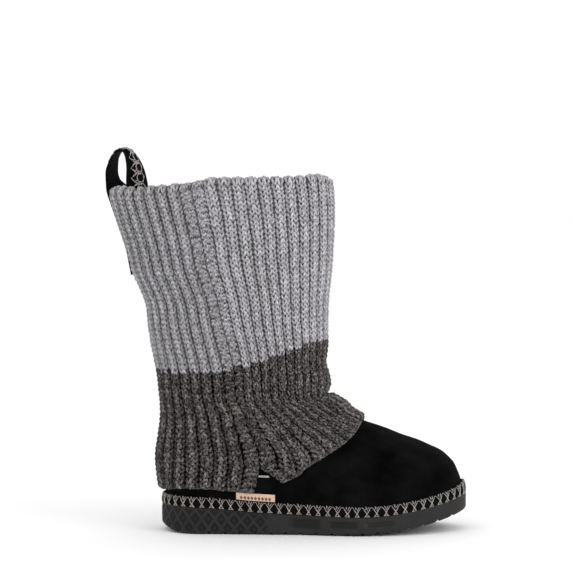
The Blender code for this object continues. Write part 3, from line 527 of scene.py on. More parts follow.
is_lining = np.concatenate([np.zeros(len(outer_quads)), np.ones(len(inner_quads) + len(rim_quads))])
upper_points = np.concatenate([outer_face.reshape(-1, 3), inner_face.reshape(-1, 3)])
add_piece("suede_upper", upper_points, upper_faces, [suede, lining], "upper", is_lining)


# The braid round the sole: a black woven tape, glued over the joint, and the grey yarn worked on it
# as one row of crosses, with small loops along its upper edge and short feet along its lower one.
BRAID_HEIGHT, BRAID_THICKNESS = 0.0088, 0.0039
CROSS_PITCH, CROSS_YARN = 0.0087, 0.00039


def surface_map(across, along, points, normals):
    """Gives a function that reads a place off a surface by two coordinates and a height."""

    def cell(axis, at):
        index = np.clip(np.searchsorted(axis, at, side="right") - 1, 0, len(axis) - 2)
        return index, np.clip((at - axis[index]) / (axis[index + 1] - axis[index]), 0, 1)

    def place_at(u, v, height):
        u, v, height = np.broadcast_arrays(u, v, height)
        (i, a), (j, b) = cell(across, u), cell(along, v)
        a, b = a[..., None], b[..., None]
        found = []
        for grid in (points, normals):
            near = mix(grid[i, j], grid[i + 1, j], a)
            far = mix(grid[i, j + 1], grid[i + 1, j + 1], a)
            found.append(mix(near, far, b))
        out = found[1] / np.linalg.norm(found[1], axis=-1, keepdims=True)
        return found[0] + out * height[..., None]

    return place_at


# Nodes that sweep a round thread along each line of a mesh, as thick as its points say.
THREADS = bpy.data.node_groups.new("threads", "GeometryNodeTree")
GEOMETRY = "NodeSocketGeometry"
THREAD_SOCKETS = {
    label: THREADS.interface.new_socket(label, in_out="INPUT", socket_type=kind).identifier
    for label, kind in (("Geometry", GEOMETRY), ("Sides", "NodeSocketInt"), ("Girth", FLOAT),
                        ("Material", "NodeSocketMaterial"))
}
THREADS.interface.new_socket("Geometry", in_out="OUTPUT", socket_type=GEOMETRY)
make, link = THREADS.nodes.new, THREADS.links.new
given, result = make("NodeGroupInput"), make("NodeGroupOutput")
to_curve, sweep = make("GeometryNodeMeshToCurve"), make("GeometryNodeCurveToMesh")
circle = make("GeometryNodeCurvePrimitiveCircle")
width, scaled = make("GeometryNodeInputNamedAttribute"), make("ShaderNodeMath")
real, paint = make("GeometryNodeRealizeInstances"), make("GeometryNodeSetMaterial")
width.data_type, width.inputs["Name"].default_value = "FLOAT", "width"
scaled.operation = "MULTIPLY"
circle.inputs["Radius"].default_value = 1.0
sweep.inputs["Fill Caps"].default_value = True
for start, end in (
    (given.outputs["Geometry"], to_curve.inputs["Mesh"]),
    (to_curve.outputs["Curve"], sweep.inputs["Curve"]),
    (width.outputs["Attribute"], scaled.inputs[0]),
    (given.outputs["Girth"], scaled.inputs[1]),
    (scaled.outputs[0], sweep.inputs["Scale"]),
    (given.outputs["Sides"], circle.inputs["Resolution"]),
    (circle.outputs["Curve"], sweep.inputs["Profile Curve"]),
    (sweep.outputs["Mesh"], real.inputs["Geometry"]),
    (real.outputs["Geometry"], paint.inputs["Geometry"]),
    (given.outputs["Material"], paint.inputs["Material"]),
    (paint.outputs["Geometry"], result.inputs["Geometry"]),
):
    link(start, end)


def spin_threads(name, batches, sides, material):
    """Threads along lines. Each batch holds lines (count, steps, 3), and their widths and their tones, painted
    shade included.
    """
    points, widths, shades_and_tones, edges, start = [], [], [], [], 0
    for lines, width, shade_and_tone in batches:
        count, steps = lines.shape[:2]
        first = start + np.arange(count)[:, None] * steps + np.arange(steps - 1)
        edges.append(np.stack([first, first + 1], axis=-1).reshape(-1, 2))
        points.append(lines.reshape(-1, 3))
        widths.append(np.broadcast_to(width, (count, steps)).ravel())
        shades_and_tones.append(np.broadcast_to(shade_and_tone, (count, steps)).ravel())
        start += count * steps
    mesh = bpy.data.meshes.new(name)
    mesh.from_pydata(np.concatenate(points).tolist(), np.concatenate(edges).tolist(), [])
    for label, values in (("width", widths), ("shade_and_tone", shades_and_tones)):
        store_values(mesh, label, np.concatenate(values))
    source = bpy.data.objects.new(name + "_lines", mesh)
    bpy.context.scene.collection.objects.link(source)
    sweeper = source.modifiers.new("threads", "NODES")
    sweeper.node_group = THREADS
    for label, value in (("Sides", sides), ("Girth", 1.0), ("Material", material)):
        sweeper[THREAD_SOCKETS[label]] = value
    bpy.context.view_layer.update()
    swept = bpy.data.meshes.new_from_object(source.evaluated_get(bpy.context.evaluated_depsgraph_get()))
    bpy.data.objects.remove(source)
    swept.name = name
    dress(name, swept, None)


tape = mottled_material("braid_tape", (0.002, 0.002, 0.002), (0.007, 0.0065, 0.0065), 1700.0, 2.5, 0.0003,
                        {"Roughness": 0.9, "Specular IOR Level": 0.04})
cross_yarn = mottled_material("cross_yarn", (0.17, 0.152, 0.142), (0.56, 0.515, 0.485), 900.0, 3.0, 0.0003,
                              {"Roughness": 0.85, "Sheen Weight": 0.2})

BRAID_STEPS = 480
braid_turns = np.linspace(0, 2 * math.pi, 1200)
braid_mid = skin(0.5, braid_turns, BRAID_THICKNESS)
braid_run = np.concatenate([[0], np.cumsum(np.linalg.norm(np.diff(braid_mid, axis=0), axis=1))])
even_run = np.linspace(0, braid_run[-1], BRAID_STEPS + 1)
braid_turns = np.interp(even_run, braid_run, braid_turns)
braid_rise = FOOT["back_rise"][1] * INSTEP_RISE
BRAID_PROFILE = ((0.0, 0.0), (0.0, 0.97), (0.02, 1.0), (0.2, 1.0), (0.34, 0.985), (0.52, 0.93), (0.70, 0.82),
                 (0.86, 0.62), (0.97, 0.38), (1.0, 0.2), (1.0, 0.0))
# At the tip of the toe the tape stands a little higher against the suede.
TOE_STAND, TOE_REACH = 0.38, 0.30
braid_tall = BRAID_HEIGHT * (1 + TOE_STAND * np.exp(-(np.sin(braid_turns / 2) * 2 / TOE_REACH) ** 2))
braid_sections = []
for height, thick in BRAID_PROFILE:
    corner = skin(height * braid_tall[:-1] / braid_rise, braid_turns[:-1], CLEARANCE + thick * BRAID_THICKNESS)
    if height == 0.0:
        corner[:, 2] = sole_top(corner[:, 0]) + CLEARANCE * 1.5
    braid_sections.append(corner)
tape_faces = [tuple(f) for f in grid_faces(len(BRAID_PROFILE), BRAID_STEPS, wrap=True)]
last_row = (len(BRAID_PROFILE) - 1) * BRAID_STEPS
for k in range(BRAID_STEPS):
    n = (k + 1) % BRAID_STEPS
    tape_faces.append((last_row + k, last_row + n, n, k))
add_piece("braid_tape", braid_sections, tape_faces, [tape], "sole_braid")

face_heights = np.array([h for h, t in BRAID_PROFILE[2:-1]])
face_offs = np.array([t for h, t in BRAID_PROFILE[2:-1]]) * BRAID_THICKNESS + CLEARANCE
braid_levels = face_heights[None, :] * braid_tall[:, None] / braid_rise
braid_face = skin(braid_levels, braid_turns[:, None], np.broadcast_to(face_offs, braid_levels.shape))
up_face, round_face = np.gradient(braid_face, axis=1), np.gradient(braid_face, axis=0)
braid_normals = np.cross(up_face, round_face)
braid_normals /= np.linalg.norm(braid_normals, axis=-1, keepdims=True)
on_braid = surface_map(even_run, face_heights, braid_face, braid_normals)

cross_count = round(braid_run[-1] / CROSS_PITCH)
cross_pitch = braid_run[-1] / cross_count
# Strokes of one cross: along the pitch, up the tape, and height over it, at five places, and girth. The
# left and right ones are the small ticks at the upper edge.
STROKES = {
    "rising": ([0.25, 0.38, 0.50, 0.64, 0.82], [0.01, 0.17, 0.36, 0.56, 0.80], [0.1, 0.6, 0.9, 0.7, 0.4], 1.0),
    "falling": ([0.75, 0.62, 0.50, 0.36, 0.18], [0.01, 0.17, 0.36, 0.56, 0.80], [0.1, 0.5, 0.3, 0.6, 0.4], 1.0),
    "over": ([0.80, 0.90, 1.00, 1.10, 1.20], [0.80, 0.90, 0.93, 0.90, 0.80], [0.2, 0.4, 0.4, 0.4, 0.2], 0.6),
    "left": ([0.24, 0.31, 0.38, 0.44, 0.49], [0.96, 0.90, 0.82, 0.72, 0.62], [0.4, 1.0, 1.1, 0.9, 0.3], 0.7),
    "right": ([0.64, 0.60, 0.57, 0.60, 0.66], [0.99, 0.93, 0.85, 0.78, 0.80], [0.4, 1.2, 1.4, 1.1, 0.3], 1.0),
    "foot": ([0.33, 0.41, 0.50, 0.59, 0.67], [0.02, 0.07, 0.04, 0.07, 0.02], [0.0, 0.4, 0.5, 0.4, 0.0], 0.7),
}
random = np.random.default_rng(11)
cross_batches = []
for along, up, over, girth in STROKES.values():
    starts = np.arange(cross_count)[:, None] + np.array(along)
    starts = starts + random.normal(0, 0.022, starts.shape)
    run_at = (starts % cross_count) * cross_pitch
    up_at = np.clip(np.array(up) + random.normal(0, 0.018, starts.shape), 0.01, 0.99)
    lines = on_braid(run_at, up_at, np.array(over) * CROSS_YARN)
    # A line that would jump over the ring's end is left out with its neighbours kept whole.
    whole = np.ptp(run_at, axis=1) < cross_pitch * 2
    widths = np.array([0.7, 1.0, 1.05, 1.0, 0.7]) * CROSS_YARN * girth
    cross_batches.append((lines[whole], widths, random.random((int(whole.sum()), 1))))
spin_threads("cross_stitches", cross_batches, 6, cross_yarn)


# The knitted leg: two ribbed panels, front and back, sewn down both sides and left open at the ankle.
# Thick heather yarn, light above and charcoal below. Each panel is a backing and the stitches on it.
KNIT_EASE, KNIT_WALL, RIB_HEIGHT = 0.0010, 0.0030, 0.0020
FRONT_RIBS, BACK_RIBS = 23, 15
FOLD_SWELL, FOLD_REACH = 0.0060, math.radians(80)
COURSES, COURSE_PITCH = 60, 0.0045
BACK_THICK = 0.0012
SEAM_BAND, RIB_CROWDING = 0.95, 0.65
PANEL_REACH_FRONT, PANEL_REACH_BACK = math.radians(106), math.radians(75)
SLIT_TOP, SLIT_POWER, BACK_HEM = 3.30, 0.9, 1.70
SLIT_SPREAD_BACK, SLIT_SPREAD_FRONT = math.radians(3.2), math.radians(13.0)
ROLL_RADIUS, COLLAR_STAND, ROLL_TAIL, SAG_REACH, HEEL_HANG = 0.0030, 0.002, 0.007, 9, 0.33

SEAM = {
    "level": (0.0, 3.0, 5.7, 9.0, 12.0, 14.8, 16.3, 17.6, 19.2, 21.2, 24.0),
    "degrees": (110.0, 108.8, 106.5, 100.0, 94.0, 93.8, 97.0, 101.0, 103.8, 105.2, 105.8),
}
FRONT_HEM = {
    "across": (0.00, 0.25, 0.46, 0.65, 0.77, 0.86, 0.93, 1.00),
    "level": (9.35, 8.75, 7.60, 6.00, 4.45, 3.15, 2.70, 2.40),
}
FRONT_FOLDS = {
    "level": (0.0, 9.0, 10.0, 11.0, 12.0, 12.8, 13.4, 14.2, 14.8, 15.3, 16.0, 17.5, 24.0),
    "swell": (0.05, 0.05, 0.20, 0.85, 1.00, 0.12, 0.60, 0.95, 0.60, 0.12, 0.18, 0.00, 0.00),
}
COLLAR_SAG = {
    "x": (-0.085, -0.072, -0.060, -0.045, -0.030, -0.013, -0.002, 0.012, 0.025, 0.043, 0.079, 0.092, 0.102,
          0.110, 0.114, 0.118),
    "drop": (0.0005, 0.0010, 0.0036, 0.0028, 0.0030, 0.0012, 0.0000, -0.0008, 0.0000, 0.0010, 0.0027, 0.0030,
             0.0020, 0.0032, 0.0060, 0.0090),
}
# Where the charcoal yarn gives way to the light one, going forward along the outer side.
COLOUR_LINE = {
    "x": (-0.060, 0.018, 0.026, 0.040, 0.056, 0.074, 0.094, 0.120),
    "z": (0.1440, 0.1440, 0.1474, 0.1501, 0.1543, 0.1617, 0.1685, 0.1740),
}


def seam_turn(level, front):
    turn = np.radians(column(SEAM, "degrees", "level", level))
    open_share = np.clip((SLIT_TOP - level) / (SLIT_TOP - BACK_HEM), 0, 1) ** SLIT_POWER
    return turn + open_share * (-SLIT_SPREAD_FRONT if front else SLIT_SPREAD_BACK)


def fold_off(level, turn):
    from_front = np.abs((turn + math.pi) % (2 * math.pi) - math.pi)
    fade = np.cos(np.clip(from_front / FOLD_REACH, 0, 1) * math.pi / 2) ** 2
    return FOLD_SWELL * fade * column(FRONT_FOLDS, "swell", "level", level)


def rib_spacing(front):
    """Share of the way round a panel at each share of its ribs: they crowd where the leg bends sharply."""
    reach = PANEL_REACH_FRONT if front else PANEL_REACH_BACK
    bend = np.linspace(0, reach, 400)
    speed = np.hypot(COLLAR_DEPTH / 2 * np.sin(bend), LEG_WIDTH / 2 * np.cos(bend)) ** RIB_CROWDING
    count = np.concatenate([[0], np.cumsum((speed[1:] + speed[:-1]) / 2)])
    return count / count[-1], bend / reach


def panel_map(front):
    """The panel's face, read by rib number across and by course up from the hem, collar roll included."""
    ribs = FRONT_RIBS if front else BACK_RIBS
    reach = ribs / 2 + SEAM_BAND
    numbers = np.linspace(-reach, reach, ribs * 8 + 17)
    shares = np.sign(numbers) * np.interp(np.abs(numbers) / reach, *rib_spacing(front))
    # The back panel's hem hangs a little lower behind the heel.
    start = column(FRONT_HEM, "level", "across", np.abs(shares)) if front else (
        BACK_HEM - HEEL_HANG * np.clip(1 - (shares / 0.45) ** 2, 0, 1))
    levels = mix(start[:, None], TOP_LEVEL, np.linspace(0, 1, 240)[None, :])
    edge = seam_turn(levels, front)
    turns = shares[:, None] * edge if front else math.pi + shares[:, None] * (math.pi - edge)
    base = KNIT_EASE + BACK_THICK + fold_off(levels, turns)
    points, normals = skin(levels, turns, base), skin_normal(levels, turns)
    steps = np.linalg.norm(np.diff(points, axis=1), axis=-1)
    run = np.concatenate([np.zeros((len(numbers), 1)), np.cumsum(steps, axis=1)], axis=1)
    courses = np.linspace(0, COURSES, COURSES * 3 + 1)
    face, out = np.zeros((len(numbers), len(courses), 3)), np.zeros((len(numbers), len(courses), 3))
    for i in range(len(numbers)):
        at = courses / COURSES * run[i, -1]
        for k in range(3):
            face[i, :, k] = np.interp(at, run[i], points[i, :, k])
            out[i, :, k] = np.interp(at, run[i], normals[i, :, k])
    # The collar: the knit turns over the top of the leg and ends inside it.
    up = np.array([0, 0, 1.0])
    top, way = face[:, -1], out[:, -1].copy()
    way[:, 2] = 0
    way /= np.linalg.norm(way, axis=-1, keepdims=True)
    roll = np.linspace(0, math.pi, 10)[1:]
    rolled = [top + way * ROLL_RADIUS * (math.cos(a) - 1) + up * (ROLL_RADIUS * math.sin(a) + COLLAR_STAND)
              for a in roll]
    facing = [way * math.cos(a) + up * math.sin(a) for a in roll]
    rolled.append(rolled[-1] - up * ROLL_TAIL)
    facing.append(-way)
    face = np.concatenate([face, np.array(rolled).transpose(1, 0, 2)], axis=1)
    out = np.concatenate([out, np.array(facing).transpose(1, 0, 2)], axis=1)
    # Past the collar a course is still as long as the rib's own courses are.
    roll_courses = np.concatenate([np.linspace(0.5, 2.6, len(roll)), [4.2]])
    along = np.concatenate([courses, COURSES + roll_courses])
    sag = np.clip((along - COURSES + SAG_REACH) / SAG_REACH, 0, 1) ** 1.5
    far_side = 0.001 * (top[:, 1] > 0)
    face[..., 2] -= (collar_drop(top[:, 0]) + far_side)[:, None] * sag
    return numbers, along, face, out, run[:, -1]


def collar_drop(x):
    """How far the soft collar sags at each place along the boot."""
    return np.interp(x, COLLAR_SAG["x"], COLLAR_SAG["drop"])


def colour_change(numbers, along, face):
    """The course where the yarn changes colour, for each place across the panel."""
    line = np.interp(face[..., 0], COLOUR_LINE["x"], COLOUR_LINE["z"])
    return along[np.argmax(face[..., 2] > line, axis=1)]


# The tone runs from the backing, painted in shade (0), over the deep parts of a stitch, painted darker as
# shade, to its brightest ones (1); it also carries each stitch's own random tone.
knit_yarns = {}
for label, low, high, scale, contrast, darkest, sheen in (
    ("light", (0.375, 0.364, 0.384), (0.73, 0.712, 0.750), 470.0, 3.8, 0.26, 0.15),
    ("charcoal", (0.018, 0.0162, 0.0157), (0.322, 0.291, 0.283), 560.0, 3.6, 0.03, 0.0),
):
    yarn, shader = new_material(label + "_yarn", {
        "Roughness": 0.95, "Sheen Weight": sheen, "Sheen Roughness": 0.6, "Specular IOR Level": 0.05})
    shade = shader.id_data.nodes.new("ShaderNodeMix")
    shade.data_type, shade.blend_type = "RGBA", "MULTIPLY"
    shade.inputs["Factor"].default_value = 1.0
    feed(shade, add_mottle(shader, low, high, scale, contrast)[0], "A")
    feed(shade, add_mottle(shader, (0.82, 0.82, 0.82), (1.10, 1.10, 1.10), 60.0, 1.5)[0], "B")
    shade_and_tone = map_range(shader, read_attribute(shader, "shade_and_tone"), darkest, 1.20)
    scale_colour(shader, shade.outputs["Result"], shade_and_tone)
    add_bump(shader, add_mottle(shader, (0, 0, 0), (1, 1, 1), 1900.0, 2.0)[1], 0.0005)
    knit_yarns[label] = yarn

# The shapes of the yarn, at a few places along it: across the column, along the wale in courses, height,
# girth, and how lit it is. First one arm of a stitch.
ARM = np.array([
    [0.005, 0.070, 0.130, 0.172, 0.165],
    [-0.62, -0.28, 0.06, 0.38, 0.66],
    [-0.55, 0.45, 1.00, 0.65, -0.45],
    [0.62, 0.98, 1.08, 0.98, 0.60],
    [0.50, 0.92, 1.00, 0.90, 0.45],
])
# The plain band at the seam shows the stitches' backs: at every course a row of arches, and between
# them the hanging arches of the next row.
ARCH = np.array([
    [-0.11, -0.075, 0.0, 0.075, 0.11],
    [-0.42, 0.06, 0.28, 0.06, -0.42],
    [0.1, 1.2, 1.8, 1.2, 0.1],
    [0.62, 0.98, 1.08, 0.98, 0.60],
    [0.24, 0.82, 1.0, 0.82, 0.24],
])
HANGING_ARCH = np.array([ARCH[0] * 0.8, 0.5 - ARCH[1], ARCH[2] * 0.9, ARCH[3], ARCH[4] * 0.8])
# Between two ribs a short thread crosses the furrow at every course.
RUNG = np.array([
    [-0.15, -0.05, 0.05, 0.15],
    [-0.12, 0.10, 0.10, -0.12],
    [0.2, 0.6, 0.6, 0.2],
    [0.8, 1.0, 1.0, 0.8],
    [0.14, 0.52, 0.52, 0.14],
])
WALE_OFFSET, ARCH_PLACES = 0.200, (0.16, 0.35, 0.54, 0.73)
YARN_SHARE, ARCH_SHARE, RUNG_SHARE = 0.112, 0.085, 0.062
FIBRES_PER_RIB, FIBRE, FIBRE_REACH = 300, 0.00008, 0.0024
YARN_HEIGHT, RIB_CROWN, WIDEST_PITCH = 0.0009, 0.0020, 0.0128
HEM_CORDS = ((0.10, 0.0009), (0.42, 0.0008))


def shell_faces(columns, rows):
    """Faces of a thin shell, on both sides and round its rim, and one corner of each on the grid."""
    quads, shift = grid_faces(columns, rows), columns * rows
    corner = np.arange(shift).reshape(columns, rows)
    rim = np.concatenate([corner[0], corner[1:, -1], corner[-1, -2::-1], corner[-2:0:-1, 0]])
    after = np.roll(rim, -1)
    sides = np.stack([after, rim, rim + shift, after + shift], axis=-1)
    corners = np.concatenate([quads[:, 0], quads[:, 0], rim])
    return np.concatenate([quads, quads[:, ::-1] + shift, sides]), corners


def knit_panel(name, front, node):
    ribs = FRONT_RIBS if front else BACK_RIBS
    numbers, along, face, out, lengths = panel_map(front)
    on_panel = surface_map(numbers, along, face, out)
    change = colour_change(numbers, along, face)
    random = np.random.default_rng(3 if front else 5)
    # The backing is hidden under its stitches, so it is laid on every second point of the panel.
    backing, back_out = face[::2, ::2], out[::2, ::2]
    back_along, back_change = along[::2], change[::2]
    columns, rows = backing.shape[:2]
    inner = backing - back_out * (BACK_THICK - 0.0002)
    faces, corner = shell_faces(columns, rows)
    kinds = (back_along[corner % rows] < back_change[corner // rows]).astype(int)
    points = np.concatenate([backing.reshape(-1, 3), inner.reshape(-1, 3)])
    yarns = [knit_yarns["light"], knit_yarns["charcoal"]]
    # With no tone values of its own, the backing reads 0 and is painted in the yarns' darkest colour, as the
    # shade deep in the furrows.
    add_piece(name + "_backing", points, faces, yarns, node, kinds)
    batches = {"light": [], "charcoal": []}

    # The back panel's narrow ribs stand closer, with deeper painted shade down their sides into the furrows
    # between them.
    painted_furrow_shade, rib_round = (0.62, 2.5) if front else (0.84, 1.7)

    def add_stitches(centre, rib_middle, shape, yarn_share, lift=0, loose=0.06):
        across, up, height, girth, light = shape
        length = np.interp(centre, numbers, lengths)
        course = COURSES * COURSE_PITCH / length
        first = COURSES % course + 0.5 * course
        starts = np.arange(first - course * (first > 1.1 * course), COURSES + 4.0, course)
        rows = len(starts)
        v = starts[:, None] + (up + random.normal(0, loose, (rows, 1))) * course
        sway = 0.035 * np.sin(v * 0.31 + centre * 1.9) + 0.02 * np.sin(v * 0.83 - centre * 2.7)
        u = centre + across + sway * (lift > 0) + random.normal(0, 0.015, (rows, 1))
        limit = ribs / 2 + SEAM_BAND - 0.03
        u, v = np.clip(u, -limit, limit), np.clip(v, 0.02, along[-1])
        step = on_panel(centre + 0.25, starts, 0.0) - on_panel(centre - 0.25, starts, 0.0)
        pitch = np.linalg.norm(step, axis=-1)[:, None] * 2
        crown = RIB_CROWN * np.clip(1 - ((u - rib_middle) / 0.5) ** 2, 0, 1) * lift
        lines = on_panel(u, v, height * YARN_HEIGHT + crown)
        widths = girth * yarn_share * np.minimum(pitch, WIDEST_PITCH) * random.normal(1, 0.07, (rows, 1))
        # Each rib is painted darker down its sides towards the furrows, as shade on a round rib.
        side_shade = 1 - painted_furrow_shade * np.clip(np.abs(u - rib_middle) / 0.47, 0, 1) ** rib_round * lift
        shade_and_tone = light * random.uniform(0.72, 1.0, (rows, 1)) * side_shade
        is_dark = starts + random.normal(0, 0.25, rows) < np.interp(centre, numbers, change)
        # The charcoal yarn is spun from darker and lighter wool, so its stitches differ more.
        shade_and_tone = shade_and_tone * np.where(is_dark, random.uniform(0.50, 1.45, rows), 1.0)[:, None]
        # The back panel's light yarn is painted darker, as the shade of less light falling on that side.
        if not front:
            shade_and_tone = shade_and_tone * np.where(is_dark, 0.98, 0.83)[:, None]
        for label, chosen in (("light", ~is_dark), ("charcoal", is_dark)):
            if chosen.any():
                batches[label].append((lines[chosen], widths[chosen], shade_and_tone[chosen]))

    for k in range(ribs):
        rib_middle = k + 0.5 - ribs / 2
        for wale in (-WALE_OFFSET, WALE_OFFSET):
            for side in (-1, 1):
                arm = np.vstack([ARM[:1] * side, ARM[1:]])
                add_stitches(rib_middle + wale, rib_middle, arm, YARN_SHARE, lift=1)
    # The rungs in the back panel's furrows are painted darker still, as shade.
    rung = np.vstack([RUNG[:4], RUNG[4:] * (1 if front else 0.45)])
    for k in range(1, ribs):
        add_stitches(k - ribs / 2, k - ribs / 2, rung, RUNG_SHARE)
    for side in (-1, 1):
        for place in ARCH_PLACES:
            centre = side * (ribs / 2 + place)
            add_stitches(centre, centre, ARCH, ARCH_SHARE, loose=0.2)
            centre += side * ARCH[0, -1] * 0.85
            add_stitches(centre, centre, HANGING_ARCH, ARCH_SHARE * 0.9, loose=0.2)
    # The cast-on edge is a thicker cord along the hem.
    u = np.linspace(-ribs / 2 - SEAM_BAND + 0.05, ribs / 2 + SEAM_BAND - 0.05, ribs * 12)
    ripple = 0.5 - 0.5 * np.cos(u * 2 * math.pi + ribs * math.pi)
    for row, size in HEM_CORDS:
        cord = on_panel(u, row + random.normal(0, 0.04, len(u)), 0.0002 + ripple * RIB_CROWN * 0.6)
        # The cord is painted lighter over the ribs' crowns and darker in the furrows, as light and shade.
        light = 0.45 + 0.4 * ripple + random.normal(0, 0.08, len(u))
        batches["charcoal"].append((cord[None], size, light[None]))

    for label, made in batches.items():
        spin_threads(f"{name}_{label}_stitches", made, 4, knit_yarns[label])

    # Loose fibres that stand off the yarn.
    count = FIBRES_PER_RIB * ribs
    u = random.uniform(-ribs / 2, ribs / 2, count)
    v = random.uniform(0.3, COURSES + 2.4, count)
    bend = random.normal(0, 1, (2, 3, count)).cumsum(axis=1)
    crown = RIB_CROWN * (1 - (2 * (u - np.floor(u + ribs / 2) + ribs / 2 - 0.5)) ** 2)
    reach = random.uniform(0.4, 1.0, count) * FIBRE_REACH
    lines = np.stack([on_panel(u + bend[0, k] * 0.05, np.clip(v + bend[1, k] * 0.22, 0, along[-1]),
                               crown + YARN_HEIGHT * 0.9 + reach * k / 2) for k in range(3)], axis=1)
    dark = v < np.interp(u, numbers, change)
    for label, chosen in (("light", ~dark), ("charcoal", dark)):
        batch = (lines[chosen], FIBRE * np.array([1, 0.9, 0.5]), 0.8)
        spin_threads(f"{name}_{label}_fibres", [batch], 3, knit_yarns[label])


knit_panel("front_panel", True, "knit_front")
knit_panel("back_panel", False, "knit_back")

# A bar of light thread holds the two panels together over the slit.
TACK_LEVEL, TACK_STEP, TACK_THREAD, TACK_SINK = 2.72, 0.035, 0.00045, 0.0010
tack_share = np.linspace(0.05, 0.72, 9)
tacks = []
for side in (1, -1):
    for row in range(3):
        level = TACK_LEVEL + row * TACK_STEP
        turns = side * mix(seam_turn(level, False), seam_turn(level, True), tack_share)
        tacks.append(skin(level, turns, KNIT_EASE + KNIT_WALL - TACK_SINK * tack_share))
spin_threads("slit_tacks", [(np.array(tacks), TACK_THREAD, 0.6)], 6, knit_yarns["light"])


# The pull loop: black webbing sewn down the back of the leg, up over the collar and down inside it,
# and a patterned tape along its outer face.
STRAP_EASE, WEBBING_WIDTH, WEBBING_THICKNESS = 0.0011, 0.025, 0.0016
LOOP_TAPE_WIDTH, LOOP_TAPE_THICKNESS = 0.013, 0.0008
LOOP_HEIGHT, LOOP_SPAN, LOOP_TAIL, TAPE_GAP = 0.0345, 0.028, 0.070, 0.0011
LOOP_INNER_START, LOOP_INNER_TAIL = 0.024, 0.040
LOOP_TURN, LOOP_COLLAR_TURN = math.radians(192.5), math.radians(201)
LOOP_TAIL_TURN, LOOP_INNER_TURN = math.radians(208), math.radians(207)
TAIL_SWING, SWING_REACH = math.radians(8), 0.22
KNIT_FACE = KNIT_EASE + KNIT_WALL + RIB_HEIGHT + STRAP_EASE
LOOP = {
    "out": (0.18, 0.18, 0.11, -0.09, -0.30, -0.46, -0.57, -0.61, -0.62, -0.53),
    "up": (0.16, 0.44, 0.72, 0.95, 0.99, 0.84, 0.56, 0.26, -0.03, -0.32),
    "aside": (0.08, 0.02, 0.02, 0.05, 0.10, 0.15, 0.20, 0.24, 0.28, 0.36),
    "twist": (5.0, 13.0, 20.0, 26.0, 22.0, 12.0, 1.0, -9.0, -13.0, -13.0),
}


def level_at(height, turn):
    levels = np.linspace(0, TOP_LEVEL, 600)
    return float(np.interp(height, body(levels, turn)[:, 2], levels))


def strap_lines(width, count):
    """Rows of points across the webbing, from its outer end to its inner one, and which way it faces."""
    across = np.linspace(-1, 1, count) * width / 2
    collar = body(TOP_LEVEL, LOOP_TURN)
    outward = skin_normal(TOP_LEVEL, LOOP_TURN)
    outward[2] = 0
    outward /= np.linalg.norm(outward)
    side, facing = np.cross(outward, [0, 0, 1]), outward
    rows, ways = [], []

    def on_wall(level, turn, off, sign):
        step = np.linalg.norm(body(level, turn + 0.01) - body(level, turn - 0.01)) / 0.02
        turns = turn + across / step
        rows.append(skin(level, turns, np.full(count, off)))
        ways.append(skin_normal(level, turns) * sign)

    tail_level = level_at(collar[2] - LOOP_TAIL, LOOP_TAIL_TURN)
    for share in np.linspace(0, 1, 9):
        # The tail's sewn end turns a little towards the outer side, where it shows past the knit.
        turn = mix(LOOP_TAIL_TURN, LOOP_COLLAR_TURN, share) - TAIL_SWING * math.exp(-share / SWING_REACH)
        on_wall(mix(tail_level, TOP_LEVEL, share), turn, KNIT_FACE, 1)
    middle = collar + outward * (KNIT_FACE - UPPER_WALL) / 2 + np.array([0, 0, 0.004])
    path = np.array([middle + outward * out * LOOP_SPAN + side * aside * WEBBING_WIDTH
                     for out, aside in zip(LOOP["out"], LOOP["aside"])])
    path[:, 2] += [up * LOOP_HEIGHT for up in LOOP["up"]]
    start = rows[-1].mean(axis=0)
    free_row = len(rows)
    for drop in np.linspace(LOOP_INNER_START, LOOP_INNER_TAIL, 3):
        on_wall(level_at(collar[2] - drop, LOOP_INNER_TURN), LOOP_INNER_TURN, -(UPPER_WALL + STRAP_EASE), -1)
    whole = np.vstack([start, path, rows[free_row].mean(axis=0)])
    for k, degrees in enumerate(LOOP["twist"]):
        heading = whole[k + 2] - whole[k]
        heading /= np.linalg.norm(heading)
        twist = math.radians(degrees)
        wide = side * math.cos(twist) + outward * math.sin(twist)
        wide -= heading * np.dot(wide, heading)
        wide /= np.linalg.norm(wide)
        face = np.cross(wide, heading)
        facing = face * np.sign(np.dot(face, facing))
        rows.insert(free_row + k, whole[k + 1] + across[:, None] * wide)
        ways.insert(free_row + k, np.tile(facing, (count, 1)))
    rows, ways = np.array(rows), np.array(ways)
    centre = rows[:, count // 2]
    run = np.concatenate([[0], np.cumsum(np.linalg.norm(np.diff(centre, axis=0), axis=1))])
    even = np.linspace(0, run[-1], 150)
    smooth = [np.stack([[curve_through(run, grid[:, j, k], even) for k in range(3)] for j in range(count)])
              for grid in (rows, ways)]
    rows, ways = (grid.transpose(2, 0, 1) for grid in smooth)
    return even, across, rows, ways / np.linalg.norm(ways, axis=-1, keepdims=True)


def add_strap(name, rows, ways, low, high, edge_round, material, node):
    """A flat strap between two heights over its path, a little thinner at its edges."""
    thin = np.ones(rows.shape[1])
    thin[[0, -1]] = 1 - edge_round
    thick, mid = (high - low) / 2 * thin, (high + low) / 2
    under, over = rows + ways * (mid - thick)[:, None], rows + ways * (mid + thick)[:, None]
    sections = np.concatenate([under, over[:, ::-1]], axis=1)
    length, corners = sections.shape[:2]
    faces = [tuple(f) for f in grid_faces(length, corners, wrap=True)]
    faces += [tuple(range(corners)), tuple(range((length - 1) * corners, length * corners))[::-1]]
    add_piece(name, sections, faces, [material], node)


